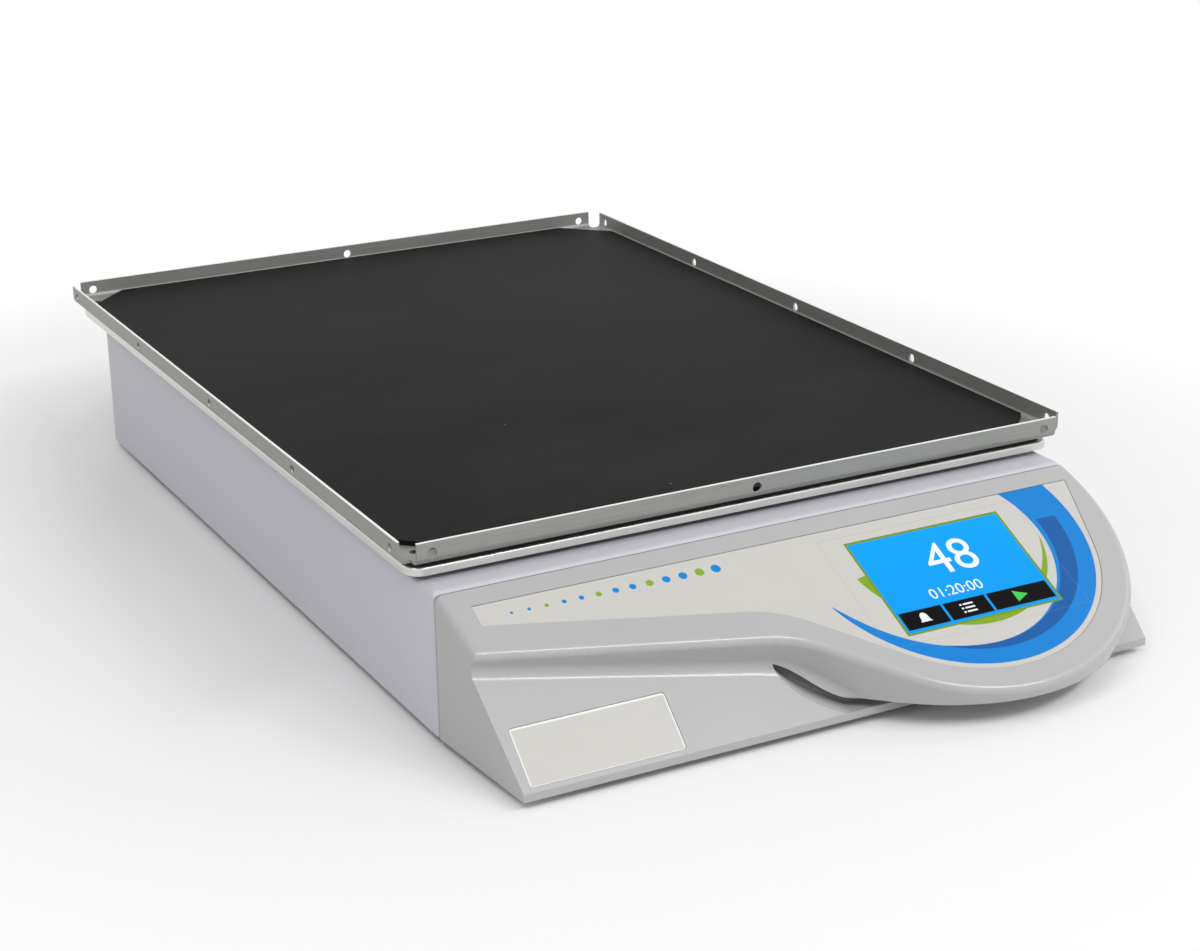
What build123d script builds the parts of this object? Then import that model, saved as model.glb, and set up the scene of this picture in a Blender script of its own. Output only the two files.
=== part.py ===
from build123d import *
import math
import os

os.makedirs("parts", exist_ok=True)

# Working frame: X to the right, Y to the back, Z up, bench at z = 0, and the tray's
# centre over x = 0, y = 0. Every finished piece is then shifted along Y so that the
# origin lies under the middle of the whole machine.

# Heights of the main layers, from the bench up
FOOT_HEIGHT = 5.0
HOUSING_HEIGHT = 84.6
PLATFORM_GAP = 3.4
CARRIER_HEIGHT = 5.0
PAD_THICKNESS = 3.5
TRAY_RIM = 13.2
MAT_THICKNESS = 3.0

# Platform tray: folded stainless sheet with four upturned flanges
TRAY_WIDTH = 440.0
TRAY_DEPTH = 612.0
TRAY_SHEET = 1.5
TRAY_BEND = 4.5
CORNER_GAP = 8.0
FLANGE_HOLE_R = 3.0
FLANGE_HOLE_DROP = 6.7
FRONT_HOLE_INSET = 16.9
FRONT_HOLE_COUNT = 3
SIDE_HOLE_INSET = 17.5
SIDE_HOLE_COUNT = 5
TRAY_SCREW_INSET_X = 14.5
TRAY_SCREW_INSET_Y = 18.0
TRAY_SCREW_R = 1.5
TRAY_SCREW_HEAD_R = 3.0

# Non-slip mat in the tray, black pad under it, folded carrier plate under both
MAT_GAP = 1.0
MAT_CHAMFER = 32.0
PAD_INSET = 9.0
CARRIER_INSET = 6.0
CARRIER_SHEET = 1.5
CARRIER_CORNER_R = 10.0

# Orbital motion
ORBIT_DIAMETER = 19.0
IDLER_INSET_X = 70.0
IDLER_INSET_Y = 111.0

# Sheet-metal housing and base pan
HOUSING_SIDE_INSET = 11.5
HOUSING_FRONT_OVERHANG = 11.0
HOUSING_BACK_INSET = 44.0
HOUSING_SHEET = 1.5
HOUSING_BEND = 3.0
PAN_SHEET = 2.0
PAN_FLANGE = 16.0
SHEET_CLEARANCE = 0.3
HUB_HOLE_MARGIN = 3.0
CABLE_WINDOW_WIDTH = 120.0
CABLE_WINDOW_HEIGHT = 26.0
CABLE_WINDOW_DROP = 37.6
VENT_COUNT = 9
VENT_LENGTH = 46.0
VENT_WIDTH = 4.0
VENT_PITCH = 10.0
VENT_INSET = 55.0

# Running and seating clearances
RUNNING_FIT = 0.05
SEAT_FIT = 0.02
OPEN_LINK_FIT = 0.30
FACE_GAP = 0.30

# Drive and idler cranks: shaft, crank disc, shoulder and pin, from the pan up
DRIVE_SHAFT_R = 10.0
DRIVE_DISC_R = 24.0
DISC_TOP_DROP = 24.0
DRIVE_DISC_HEIGHT = 10.0
DRIVE_PIN_R = 6.0
IDLER_SHAFT_R = 5.0
IDLER_DISC_R = 18.0
IDLER_PIN_R = 5.0
SHOULDER_EXTRA_R = 2.0
SHAFT_LIFT = 2.0
PIN_TOP_CLEARANCE = 2.5
COUNTERWEIGHT_R = 60.0
COUNTERWEIGHT_ANGLE = 150.0
COUNTERWEIGHT_HEIGHT = 9.0
COUNTERWEIGHT_HOLE_R = 3.2
COUNTERWEIGHT_HOLE_CIRCLE = 45.2
COUNTERWEIGHT_HOLE_PITCH = 40.0

# Hubs under the carrier plate, each with one ball bearing
HUB_FLANGE_HEIGHT = 4.0
HUB_BARREL_DROP = 18.5
HUB_WALL = 5.0
HUB_FLANGE_EXTRA_R = 9.0
HUB_BEARING_HEIGHT = 10.0
HUB_BEARING_LIFT = 1.5
HUB_LIP = 3.0
HUB_ROOF = 6.0
DRIVE_HUB_BEARING_R = 14.0
IDLER_HUB_BEARING_R = 12.0
HUB_SCREW_R = 2.0
HUB_SCREW_HEAD_R = 3.6
HUB_SCREW_HEAD_HEIGHT = 2.2
HUB_SCREW_COUNT = 4

# Bearing housings on the pan, each with two ball bearings
DRIVE_BEARING_R = 21.0
DRIVE_BEARING_HEIGHT = 12.0
DRIVE_HOUSING_GAP = 3.5
IDLER_BEARING_R = 13.0
IDLER_BEARING_HEIGHT = 8.0
IDLER_HOUSING_GAP = 2.0
BEARING_HOUSING_WALL = 5.0
BEARING_FLANGE_EXTRA_R = 13.0
BEARING_FLANGE_HEIGHT = 6.0
BEARING_LIP = 2.5
BEARING_RING = 2.2
BEARING_SHIELD_SINK = 0.6
BEARING_SCREW_R = 2.5
BEARING_SCREW_HEAD_R = 4.2
BEARING_SCREW_HEAD_HEIGHT = 3.0

# Motor, pulleys and belt
MOTOR_SPACING = 174.5
MOTOR_SIZE = 80.0
MOTOR_TOP_GAP = 2.5
MOTOR_SHAFT_R = 4.0
MOTOR_BRACKET_SHEET = 3.0
MOTOR_BRACKET_MARGIN = 14.0
MOTOR_BRACKET_CORNER_R = 6.0
MOTOR_SLOT_LENGTH = 14.0
MOTOR_SLOT_WIDTH = 5.2
MOTOR_SCREW_SETBACK = 8.0
MOTOR_FIN_PITCH = 6.0
MOTOR_FIN_GAP = 2.0
MOTOR_FIN_COUNT = 4
MOTOR_EDGE = 9.0
MOTOR_SHAFT_INSIDE = 20.0
MOTOR_SHAFT_PROUD = 1.0
BELT_RATIO = 4.0
MOTOR_PULLEY_R = 16.25
PULLEY_DISC_GAP = 0.5
BELT_WIDTH = 12.0
BELT_THICKNESS = 2.0
BELT_SIDE_GAP = 0.5
PULLEY_FLANGE_HEIGHT = 1.5
PULLEY_FLANGE_EXTRA_R = 3.0
PULLEY_HUB_EXTRA_R = 8.0
PULLEY_RIM = 7.0
PULLEY_WEB_HEIGHT = 5.0
PULLEY_WINDOW_COUNT = 6
PULLEY_WINDOW_R = 11.0

# Front console: a moulded shell with a sloping deck and a large round lobe
SEAM_GAP = 0.6
CONSOLE_DEPTH = 92.0
CONSOLE_BAND = 4.5
SLOPE_TOP_GAP = 5.2
CONSOLE_WALL = 2.5
CONSOLE_TAPER_LEFT = 6.5
CONSOLE_TAPER_RIGHT = 5.0
LOBE_FROM_RIGHT = 113.0
LOBE_S = 38.5
LOBE_R = 115.0
LOBE_RIGHT_ANGLE = 30.0
SWEEP_ANGLE = 41.6
SWEEP_KNEE_R = 60.0
DECK_LEFT_SLOPE = 11.5
DECK_LEFT_DEPTH = 46.8
DECK_RIGHT_BULGE = 0.5
LOBE_UNDERSIDE = 15.0
LOBE_EDGE_HEIGHT = 8.03
LIP_ROUND = 4.5
UNDER_ROUND = 1.5
SEAM_ROUND = 1.2
COVE_R = 7.0

# Scoop under the lobe: rim and ceiling as (x from the lobe's centre, z) points seen from the front, and the
# layers of its flared wall as (distance behind the lower face, shift of the rim to the right)
SCOOP_RIM = [(-97.5, 9.5), (-109.5, 14.6), (-118.5, 19.6), (-125.5, 25.6), (-132.5, 36.5)]
SCOOP_CEILING = [(-115.5, 26.5), (-103.5, 18.5), (-93.5, 15.0)]
SCOOP_RIGHT = 54.5
SCOOP_LAYERS = [(0.0, -3.0), (1.2, 0.0), (4.0, 2.5), (13.0, 6.0)]

# Printed overlay in the deck, with the window of the touch screen
OVERLAY_LEFT_INSET = 16.2
OVERLAY_TOP = 14.0
OVERLAY_LEFT_DEPTH = 28.2
OVERLAY_LOBE_SHIFT = -2.0
OVERLAY_LOBE_S = 38.5
OVERLAY_LOBE_R = 97.8
OVERLAY_KNEE_R = 70.0
OVERLAY_RIGHT_ANGLE = 15.0
OVERLAY_RIGHT_INSET = 7.2
OVERLAY_THICKNESS = 0.9
OVERLAY_POCKET = 1.2
OVERLAY_SIDE_GAP = 0.3
SCREEN_SHIFT = -6.2
SCREEN_S = 63.0
SCREEN_WIDTH = 106.5
SCREEN_HEIGHT = 73.5
SCREEN_GAP = 0.3
SCREEN_FLANGE = 7.0
SCREEN_FLANGE_HEIGHT = 5.0
SCREEN_FRAME_SHEET = 1.6
SCREEN_POST_R = 3.0
BOARD_DEPTH = 18.0
BOARD_THICKNESS = 1.6
BOARD_WIDTH = 124.0
BOARD_HEIGHT = 66.0
BOARD_STANDOFF_R = 2.5
BOARD_CHIPS = [(0, 0, 16, 16, 2.0), (-36, 8, 12, 8, 3.0), (34, -12, 14, 10, 3.0), (30, 16, 22, 7, 6.0)]

# Badge plate in a recess of the lower front face
BADGE_INSET = 58.0
BADGE_SLANT = 20.0
BADGE_WIDTH = 93.0
BADGE_HEIGHT = 34.5
BADGE_CORNER_R = 2.0
BADGE_POCKET = 1.0
BADGE_THICKNESS = 0.7
BADGE_GAP = 0.3

# Power inlet with fuse drawer, and rocker switch, in the back wall
INLET_INSET = 116.5
INLET_DROP = 45.6
INLET_FLANGE_WIDTH = 50.0
INLET_FLANGE_HEIGHT = 50.0
INLET_FLANGE_SHEET = 3.0
INLET_BODY_WIDTH = 29.0
INLET_BODY_HEIGHT = 44.0
INLET_BODY_DEPTH = 22.0
SOCKET_WIDTH = 24.5
SOCKET_HEIGHT = 16.5
SOCKET_DEPTH = 16.0
SOCKET_DROP = 9.0
SOCKET_CHAMFER = 5.0
PIN_SPACING = 7.0
PIN_WIDTH = 2.0
PIN_HEIGHT = 4.0
PIN_LENGTH = 13.0
INLET_SCREW_PITCH = 40.0
FUSE_RISE = 13.0
FUSE_WIDTH = 22.0
FUSE_HEIGHT = 10.0
FUSE_DEPTH = 18.0
FUSE_FACE = 2.0
FUSE_FACE_MARGIN = 1.5
SWITCH_SPACING = 56.0
SWITCH_FLANGE_WIDTH = 21.0
SWITCH_FLANGE_HEIGHT = 33.0
SWITCH_FLANGE_SHEET = 2.0
SWITCH_BODY_WIDTH = 18.6
SWITCH_BODY_HEIGHT = 29.4
SWITCH_BODY_DEPTH = 16.0
SWITCH_POCKET_DEPTH = 12.0
ROCKER_WIDTH = 14.4
ROCKER_LENGTH = 22.0
ROCKER_TILT = 7.0
ROCKER_PIVOT_DEPTH = 3.0
ROCKER_GAP = 0.4
TRUNNION_R = 1.5
TRUNNION_LENGTH = 1.2

# Feet, screws and inner units
FOOT_R = 16.0
FOOT_TAPER = 2.0
FOOT_INSET_X = 36.5
FOOT_INSET_Y = 29.5
FOOT_SCREW_R = 2.5
FOOT_SCREW_HEAD_R = 5.0
FOOT_SCREW_HEAD_HEIGHT = 2.0
FOOT_RECESS_R = 7.0
FOOT_RECESS = 2.8
COVER_SCREW_R = 1.5
COVER_SCREW_HEAD_R = 3.0
COVER_SCREW_HEAD_HEIGHT = 1.6
COVER_SCREW_PITCH = 150.0
SUPPLY_WIDTH = 150.0
SUPPLY_DEPTH = 98.0
SUPPLY_HEIGHT = 38.0
SUPPLY_INSET = 102.0
SUPPLY_STEP = 14.0
SUPPLY_STEP_HEIGHT = 16.0
SUPPLY_STEP_MARGIN = 3.0
SUPPLY_EDGE = 1.2
CONSOLE_BOSS_R = 5.0
CONSOLE_BOSS_LENGTH = 14.0
CONSOLE_BOSS_INSET = 7.0
CONSOLE_BOSS_LOW = 28.0
CONSOLE_BOSS_DROP = 21.6
CONSOLE_WEB = 4.0

# Values worked out from the ones above
HOUSING_WIDTH = TRAY_WIDTH - 2 * HOUSING_SIDE_INSET
HOUSING_HALF = HOUSING_WIDTH / 2
HOUSING_FRONT = -TRAY_DEPTH / 2 - HOUSING_FRONT_OVERHANG
HOUSING_BACK = TRAY_DEPTH / 2 - HOUSING_BACK_INSET
HOUSING_TOP = FOOT_HEIGHT + HOUSING_HEIGHT
FRONT_HOLE_PITCH = TRAY_WIDTH / 2 - FRONT_HOLE_INSET
SIDE_HOLE_PITCH = (TRAY_DEPTH - 2 * SIDE_HOLE_INSET) / (SIDE_HOLE_COUNT - 1)
CARRIER_BOTTOM = HOUSING_TOP + PLATFORM_GAP
CARRIER_TOP = CARRIER_BOTTOM + CARRIER_HEIGHT
TRAY_BOTTOM = CARRIER_TOP + PAD_THICKNESS
TRAY_FLOOR = TRAY_BOTTOM + TRAY_SHEET
TRAY_TOP = TRAY_BOTTOM + TRAY_RIM
CRANK_R = ORBIT_DIAMETER / 2
DRIVE_Y = CRANK_R
MOTOR_Y = DRIVE_Y - MOTOR_SPACING
IDLER_X = TRAY_WIDTH / 2 - IDLER_INSET_X
IDLER_Y = TRAY_DEPTH / 2 - IDLER_INSET_Y
PAN_TOP = FOOT_HEIGHT + PAN_SHEET
HUB_TOP = CARRIER_TOP - CARRIER_SHEET
HUB_BARREL_BOTTOM = CARRIER_BOTTOM - HUB_BARREL_DROP
HUB_BEARING_Z = HUB_BARREL_BOTTOM + HUB_BEARING_LIFT
HUB_BORE_TOP = HUB_TOP - HUB_ROOF
DISC_TOP = CARRIER_BOTTOM - DISC_TOP_DROP
DRIVE_DISC_Z = DISC_TOP - DRIVE_DISC_HEIGHT
PULLEY_HEIGHT = BELT_WIDTH + 2 * (BELT_SIDE_GAP + PULLEY_FLANGE_HEIGHT)
PULLEY_Z = DRIVE_DISC_Z - PULLEY_DISC_GAP - PULLEY_HEIGHT
DRIVE_HOUSING_HEIGHT = PULLEY_Z - DRIVE_HOUSING_GAP - PAN_TOP
IDLER_HOUSING_HEIGHT = DRIVE_DISC_Z - IDLER_HOUSING_GAP - PAN_TOP
MOTOR_HEIGHT = PULLEY_Z - MOTOR_TOP_GAP - PAN_TOP - MOTOR_BRACKET_SHEET
BELT_LINE = FACE_GAP + BELT_THICKNESS / 2
DRIVE_PULLEY_R = BELT_RATIO * (MOTOR_PULLEY_R + BELT_LINE) - BELT_LINE
CONSOLE_BACK = HOUSING_FRONT - SEAM_GAP
CONSOLE_FRONT = HOUSING_FRONT - CONSOLE_DEPTH
LOBE_FRONT_S = LOBE_S + LOBE_R
DECK_T = math.asin((HOUSING_TOP - LOBE_UNDERSIDE - LOBE_EDGE_HEIGHT) / LOBE_FRONT_S)
SLOPE_RISE = HOUSING_TOP - SLOPE_TOP_GAP * math.tan(DECK_T) - FOOT_HEIGHT - CONSOLE_BAND
SLOPE_T = math.atan(SLOPE_RISE / (CONSOLE_BACK - SLOPE_TOP_GAP - CONSOLE_FRONT))
CONSOLE_FRONT_HALF_LEFT = HOUSING_HALF - CONSOLE_TAPER_LEFT
CONSOLE_FRONT_HALF_RIGHT = HOUSING_HALF - CONSOLE_TAPER_RIGHT
LOBE_X = HOUSING_HALF - LOBE_FROM_RIGHT
DECK_RIGHT_TOP = HOUSING_HALF + DECK_RIGHT_BULGE
OVERLAY_LEFT = OVERLAY_LEFT_INSET - HOUSING_HALF
OVERLAY_LOBE_X = LOBE_X + OVERLAY_LOBE_SHIFT
OVERLAY_RIGHT_TOP = HOUSING_HALF - OVERLAY_RIGHT_INSET
SCREEN_X = LOBE_X + SCREEN_SHIFT
BADGE_X = BADGE_INSET - HOUSING_HALF
INLET_X = HOUSING_HALF - INLET_INSET
INLET_Z = HOUSING_TOP - INLET_DROP
SWITCH_X = INLET_X - SWITCH_SPACING
FOOT_X = HOUSING_HALF - FOOT_INSET_X
SUPPLY_Y = HOUSING_BACK - SUPPLY_INSET
CONSOLE_BOSSES = [(sx * (HOUSING_HALF - CONSOLE_BOSS_INSET), z)
                  for sx in (-1, 1) for z in (CONSOLE_BOSS_LOW, HOUSING_TOP - CONSOLE_BOSS_DROP)]
LIP_CENTRE_S = LOBE_FRONT_S - LIP_ROUND
MACHINE_FRONT = CONSOLE_BACK - LIP_CENTRE_S * math.cos(DECK_T) + LIP_ROUND * math.sin(DECK_T) - LIP_ROUND
MACHINE_BACK = TRAY_DEPTH / 2
ORIGIN_SHIFT = -(MACHINE_FRONT + MACHINE_BACK) / 2
IDLERS = {
    "front_left": (-IDLER_X, DRIVE_Y - IDLER_Y),
    "front_right": (IDLER_X, DRIVE_Y - IDLER_Y),
    "back_left": (-IDLER_X, DRIVE_Y + IDLER_Y),
    "back_right": (IDLER_X, DRIVE_Y + IDLER_Y),
}
DECK_LEFT_EDGE = DECK_LEFT_DEPTH - math.tan(math.radians(DECK_LEFT_SLOPE)) * HOUSING_HALF
DECK = Plane(
    origin=(0, CONSOLE_BACK, HOUSING_TOP),
    x_dir=(1, 0, 0),
    z_dir=(0, -math.sin(DECK_T), math.cos(DECK_T)),
)
LOWER_FACE = Plane(
    origin=(0, CONSOLE_FRONT, FOOT_HEIGHT + CONSOLE_BAND),
    x_dir=(1, 0, 0),
    z_dir=(0, -math.sin(SLOPE_T), math.cos(SLOPE_T)),
)


def post(x, y, z, radius, height):
    """Upright cylinder standing on height z."""
    return Pos(x, y, z) * Cylinder(radius, height, align=(Align.CENTER, Align.CENTER, Align.MIN))


def block(x, y, z, width, depth, height):
    """Box centred on x and y, standing on height z."""
    return Pos(x, y, z) * Box(width, depth, height, align=(Align.CENTER, Align.CENTER, Align.MIN))


def rod_y(x, y, z, radius, length):
    """Cylinder along +Y, starting at y."""
    return Pos(x, y, z) * Rot(-90, 0, 0) * Cylinder(radius, length, align=(Align.CENTER, Align.CENTER, Align.MIN))


def rod_x(x, y, z, radius, length):
    """Cylinder along +X, starting at x."""
    return Pos(x, y, z) * Rot(0, 90, 0) * Cylinder(radius, length, align=(Align.CENTER, Align.CENTER, Align.MIN))


def group(solids):
    """Several separate solids kept together as one node."""
    return Compound(list(solids))


def upright_edges(shape):
    """Edges of a shape that run along Z."""
    return shape.edges().filter_by(Axis.Z)


def circle_points(x, y, radius, count, start=45.0):
    """Points evenly spaced on a circle."""
    angles = [math.radians(start + 360.0 * i / count) for i in range(count)]
    return [(x + radius * math.cos(a), y + radius * math.sin(a)) for a in angles]


def row(pitch, count):
    """Positions of a centred row."""
    return [pitch * (i - (count - 1) / 2) for i in range(count)]


# Platform tray
def tray():
    outer = block(0, 0, TRAY_BOTTOM, TRAY_WIDTH, TRAY_DEPTH, TRAY_RIM)
    outer = fillet(outer.faces().sort_by(Axis.Z)[0].edges(), TRAY_BEND)
    inner = block(0, 0, TRAY_FLOOR, TRAY_WIDTH - 2 * TRAY_SHEET, TRAY_DEPTH - 2 * TRAY_SHEET, TRAY_RIM)
    inner = fillet(inner.faces().sort_by(Axis.Z)[0].edges(), TRAY_BEND - TRAY_SHEET)
    body = outer - inner
    for side_x in (-1, 1):
        for side_y in (-1, 1):
            corner = block(side_x * TRAY_WIDTH / 2, side_y * TRAY_DEPTH / 2, TRAY_BOTTOM - 1,
                           2 * CORNER_GAP, 2 * CORNER_GAP, TRAY_RIM + 2)
            body -= corner
    hole_z = TRAY_TOP - FLANGE_HOLE_DROP
    for x in row(FRONT_HOLE_PITCH, FRONT_HOLE_COUNT):
        body -= rod_y(x, -TRAY_DEPTH / 2 - 1, hole_z, FLANGE_HOLE_R, TRAY_DEPTH + 2)
    for y in row(SIDE_HOLE_PITCH, SIDE_HOLE_COUNT):
        body -= rod_x(-TRAY_WIDTH / 2 - 1, y, hole_z, FLANGE_HOLE_R, TRAY_WIDTH + 2)
    for x, y in tray_screw_points():
        body -= Pos(x, y, TRAY_BOTTOM) * Cone(
            TRAY_SCREW_R + SEAT_FIT, TRAY_SCREW_HEAD_R + SEAT_FIT, TRAY_SHEET,
            align=(Align.CENTER, Align.CENTER, Align.MIN))
    return body


def tray_screw_points():
    x = TRAY_WIDTH / 2 - TRAY_SCREW_INSET_X
    y = TRAY_DEPTH / 2 - TRAY_SCREW_INSET_Y
    return [(sx * x, sy * y) for sx in (-1, 1) for sy in (-1, 1)]


def tray_screws():
    screws = []
    for x, y in tray_screw_points():
        head = Pos(x, y, TRAY_BOTTOM) * Cone(
            TRAY_SCREW_R, TRAY_SCREW_HEAD_R, TRAY_SHEET, align=(Align.CENTER, Align.CENTER, Align.MIN))
        shank = post(x, y, HUB_TOP, TRAY_SCREW_R, TRAY_BOTTOM - HUB_TOP)
        socket = extrude(RegularPolygon(TRAY_SCREW_R * 0.8, 6), TRAY_SHEET)
        screws.append(head + shank - Pos(x, y, TRAY_FLOOR - TRAY_SHEET / 2) * socket)
    return group(screws)


def rubber_mat():
    width = TRAY_WIDTH - 2 * (TRAY_BEND + MAT_GAP)
    depth = TRAY_DEPTH - 2 * (TRAY_BEND + MAT_GAP)
    mat = block(0, 0, TRAY_FLOOR, width, depth, MAT_THICKNESS)
    return chamfer(upright_edges(mat), MAT_CHAMFER)


def spacer_pad():
    width = TRAY_WIDTH - 2 * PAD_INSET
    depth = TRAY_DEPTH - 2 * PAD_INSET
    pad = block(0, 0, CARRIER_TOP, width, depth, PAD_THICKNESS)
    pad = fillet(upright_edges(pad), CARRIER_CORNER_R)
    for x, y in hub_screw_points():
        pad -= post(x, y, CARRIER_TOP, HUB_SCREW_HEAD_R + 1.0, PAD_THICKNESS)
    for x, y in tray_screw_points():
        pad -= post(x, y, CARRIER_TOP, TRAY_SCREW_R + SEAT_FIT, PAD_THICKNESS)
    return pad


def carrier_plate():
    width = TRAY_WIDTH - 2 * CARRIER_INSET
    depth = TRAY_DEPTH - 2 * CARRIER_INSET
    plate = block(0, 0, CARRIER_BOTTOM, width, depth, CARRIER_HEIGHT)
    plate = fillet(upright_edges(plate), CARRIER_CORNER_R)
    plate = fillet(plate.faces().sort_by(Axis.Z)[-1].edges(), CARRIER_SHEET)
    hollow = block(0, 0, CARRIER_BOTTOM, width - 2 * CARRIER_SHEET, depth - 2 * CARRIER_SHEET,
                   CARRIER_HEIGHT - CARRIER_SHEET)
    plate -= fillet(upright_edges(hollow), CARRIER_CORNER_R - CARRIER_SHEET)
    for x, y in hub_screw_points():
        plate -= post(x, y, HUB_TOP, HUB_SCREW_R + SEAT_FIT, CARRIER_SHEET)
    for x, y in tray_screw_points():
        plate -= post(x, y, HUB_TOP, TRAY_SCREW_R + SEAT_FIT, CARRIER_SHEET)
    return plate


# Hubs: one over the drive pin and one over each idler pin, shifted by the crank radius
def hub_places():
    places = [(0.0, DRIVE_Y - CRANK_R, DRIVE_HUB_BEARING_R)]
    for x, y in IDLERS.values():
        places.append((x, y - CRANK_R, IDLER_HUB_BEARING_R))
    return places


def hub_screw_circle(bearing_r):
    return bearing_r + HUB_WALL + HUB_FLANGE_EXTRA_R / 2


def hub_screw_points():
    points = []
    for x, y, bearing_r in hub_places():
        points += circle_points(x, y, hub_screw_circle(bearing_r), HUB_SCREW_COUNT)
    return points


def hub(x, y, bearing_r):
    barrel_r = bearing_r + HUB_WALL
    body = post(x, y, HUB_BARREL_BOTTOM, barrel_r, HUB_TOP - HUB_BARREL_BOTTOM)
    body += post(x, y, HUB_TOP - HUB_FLANGE_HEIGHT, barrel_r + HUB_FLANGE_EXTRA_R, HUB_FLANGE_HEIGHT)
    body -= post(x, y, HUB_BARREL_BOTTOM, bearing_r + SEAT_FIT, HUB_BEARING_LIFT + HUB_BEARING_HEIGHT)
    body -= post(x, y, HUB_BEARING_Z, bearing_r - HUB_LIP, HUB_BORE_TOP - HUB_BEARING_Z)
    for sx, sy in circle_points(x, y, hub_screw_circle(bearing_r), HUB_SCREW_COUNT):
        body -= post(sx, sy, HUB_TOP - HUB_FLANGE_HEIGHT, HUB_SCREW_R + SEAT_FIT, HUB_FLANGE_HEIGHT)
    return body


def hub_screws():
    screws = []
    for x, y in hub_screw_points():
        shank = post(x, y, HUB_TOP - HUB_FLANGE_HEIGHT, HUB_SCREW_R, CARRIER_TOP - HUB_TOP + HUB_FLANGE_HEIGHT)
        head = post(x, y, CARRIER_TOP, HUB_SCREW_HEAD_R, HUB_SCREW_HEAD_HEIGHT)
        screws.append(shank + fillet(head.edges().sort_by(Axis.Z)[-1], 0.8))
    return group(screws)


def ball_bearing(x, y, z, outer_r, bore_r, height):
    """Closed bearing: two rings with a sunk shield between them."""
    body = post(x, y, z, outer_r, height)
    ring = post(x, y, z, outer_r - BEARING_RING, BEARING_SHIELD_SINK)
    ring -= post(x, y, z, bore_r + BEARING_RING, BEARING_SHIELD_SINK)
    body -= ring
    body -= Pos(0, 0, height - BEARING_SHIELD_SINK) * ring
    return body - post(x, y, z, bore_r, height)


def hub_bearing(x, y, outer_r, pin_r, clearance):
    return ball_bearing(x, y, HUB_BEARING_Z, outer_r, pin_r + clearance, HUB_BEARING_HEIGHT)


def idler_hubs():
    return group([hub(x, y, r) for x, y, r in hub_places()[1:]])


def idler_hub_bearings():
    return group([hub_bearing(x, y, r, IDLER_PIN_R, OPEN_LINK_FIT) for x, y, r in hub_places()[1:]])


def drive_hub():
    return hub(*hub_places()[0])


def drive_hub_bearing():
    x, y, r = hub_places()[0]
    return hub_bearing(x, y, r, DRIVE_PIN_R, RUNNING_FIT)


# Cranks: shaft in the lower bearings, disc, shoulder and offset pin
def crank(x, y, shaft_r, disc_r, pin_r):
    pin_y = y - CRANK_R
    body = post(x, y, PAN_TOP + SHAFT_LIFT, shaft_r, DRIVE_DISC_Z - PAN_TOP - SHAFT_LIFT)
    disc = post(x, y - CRANK_R / 2, DRIVE_DISC_Z, disc_r, DRIVE_DISC_HEIGHT)
    body += chamfer(disc.edges().filter_by(GeomType.CIRCLE), 1.0)
    body += post(x, pin_y, DISC_TOP, pin_r + SHOULDER_EXTRA_R, HUB_BEARING_Z - FACE_GAP - DISC_TOP)
    pin = post(x, pin_y, DISC_TOP, pin_r, HUB_BORE_TOP - PIN_TOP_CLEARANCE - DISC_TOP)
    return body + chamfer(pin.edges().sort_by(Axis.Z)[-1], 0.8)


def drive_crank():
    return crank(0, DRIVE_Y, DRIVE_SHAFT_R, DRIVE_DISC_R, DRIVE_PIN_R)


def idler_crank(name):
    x, y = IDLERS[name]
    return crank(x, y, IDLER_SHAFT_R, IDLER_DISC_R, IDLER_PIN_R)


def counterweight():
    """Half-round steel segment on the far side of the drive pin, bolted round the disc."""
    half = math.radians(COUNTERWEIGHT_ANGLE / 2)
    outer = COUNTERWEIGHT_R
    sector = Polyline(
        (0, 0), (2 * outer * math.sin(half), 2 * outer * math.cos(half)),
        (0, 4 * outer), (-2 * outer * math.sin(half), 2 * outer * math.cos(half)), (0, 0))
    ring = Circle(outer) - Circle(DRIVE_DISC_R + SEAT_FIT).moved(Location((0, -CRANK_R / 2, 0)))
    shape = extrude(ring & make_face(sector), COUNTERWEIGHT_HEIGHT)
    body = Pos(0, DRIVE_Y, DRIVE_DISC_Z) * shape
    for angle in row(math.radians(COUNTERWEIGHT_HOLE_PITCH), 3):
        x = COUNTERWEIGHT_HOLE_CIRCLE * math.sin(angle)
        y = DRIVE_Y + COUNTERWEIGHT_HOLE_CIRCLE * math.cos(angle)
        body -= post(x, y, DRIVE_DISC_Z, COUNTERWEIGHT_HOLE_R, COUNTERWEIGHT_HEIGHT)
    return body


# Lower bearing housings with their bearings
def bearing_housing(x, y, bearing_r, bearing_height, height):
    barrel_r = bearing_r + BEARING_HOUSING_WALL
    flange_r = barrel_r + BEARING_FLANGE_EXTRA_R
    body = post(x, y, PAN_TOP, barrel_r, height)
    flange = post(x, y, PAN_TOP, flange_r, BEARING_FLANGE_HEIGHT)
    body += chamfer(flange.edges().sort_by(Axis.Z)[-1], 1.0)
    body -= post(x, y, PAN_TOP, bearing_r - BEARING_LIP, height)
    low_z, high_z = bearing_levels(bearing_height, height)
    body -= post(x, y, PAN_TOP, bearing_r + SEAT_FIT, low_z + bearing_height - PAN_TOP)
    body -= post(x, y, high_z, bearing_r + SEAT_FIT, bearing_height)
    for sx, sy in bearing_screw_points(x, y, bearing_r):
        body -= post(sx, sy, PAN_TOP, BEARING_SCREW_R + SEAT_FIT, BEARING_FLANGE_HEIGHT)
    return body


def bearing_levels(bearing_height, height):
    """Heights of the lower and the upper bearing of one housing."""
    return PAN_TOP + BEARING_FLANGE_HEIGHT, PAN_TOP + height - bearing_height


def bearing_screw_points(x, y, bearing_r):
    circle_r = bearing_r + BEARING_HOUSING_WALL + BEARING_FLANGE_EXTRA_R / 2
    return circle_points(x, y, circle_r, 4)


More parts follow.
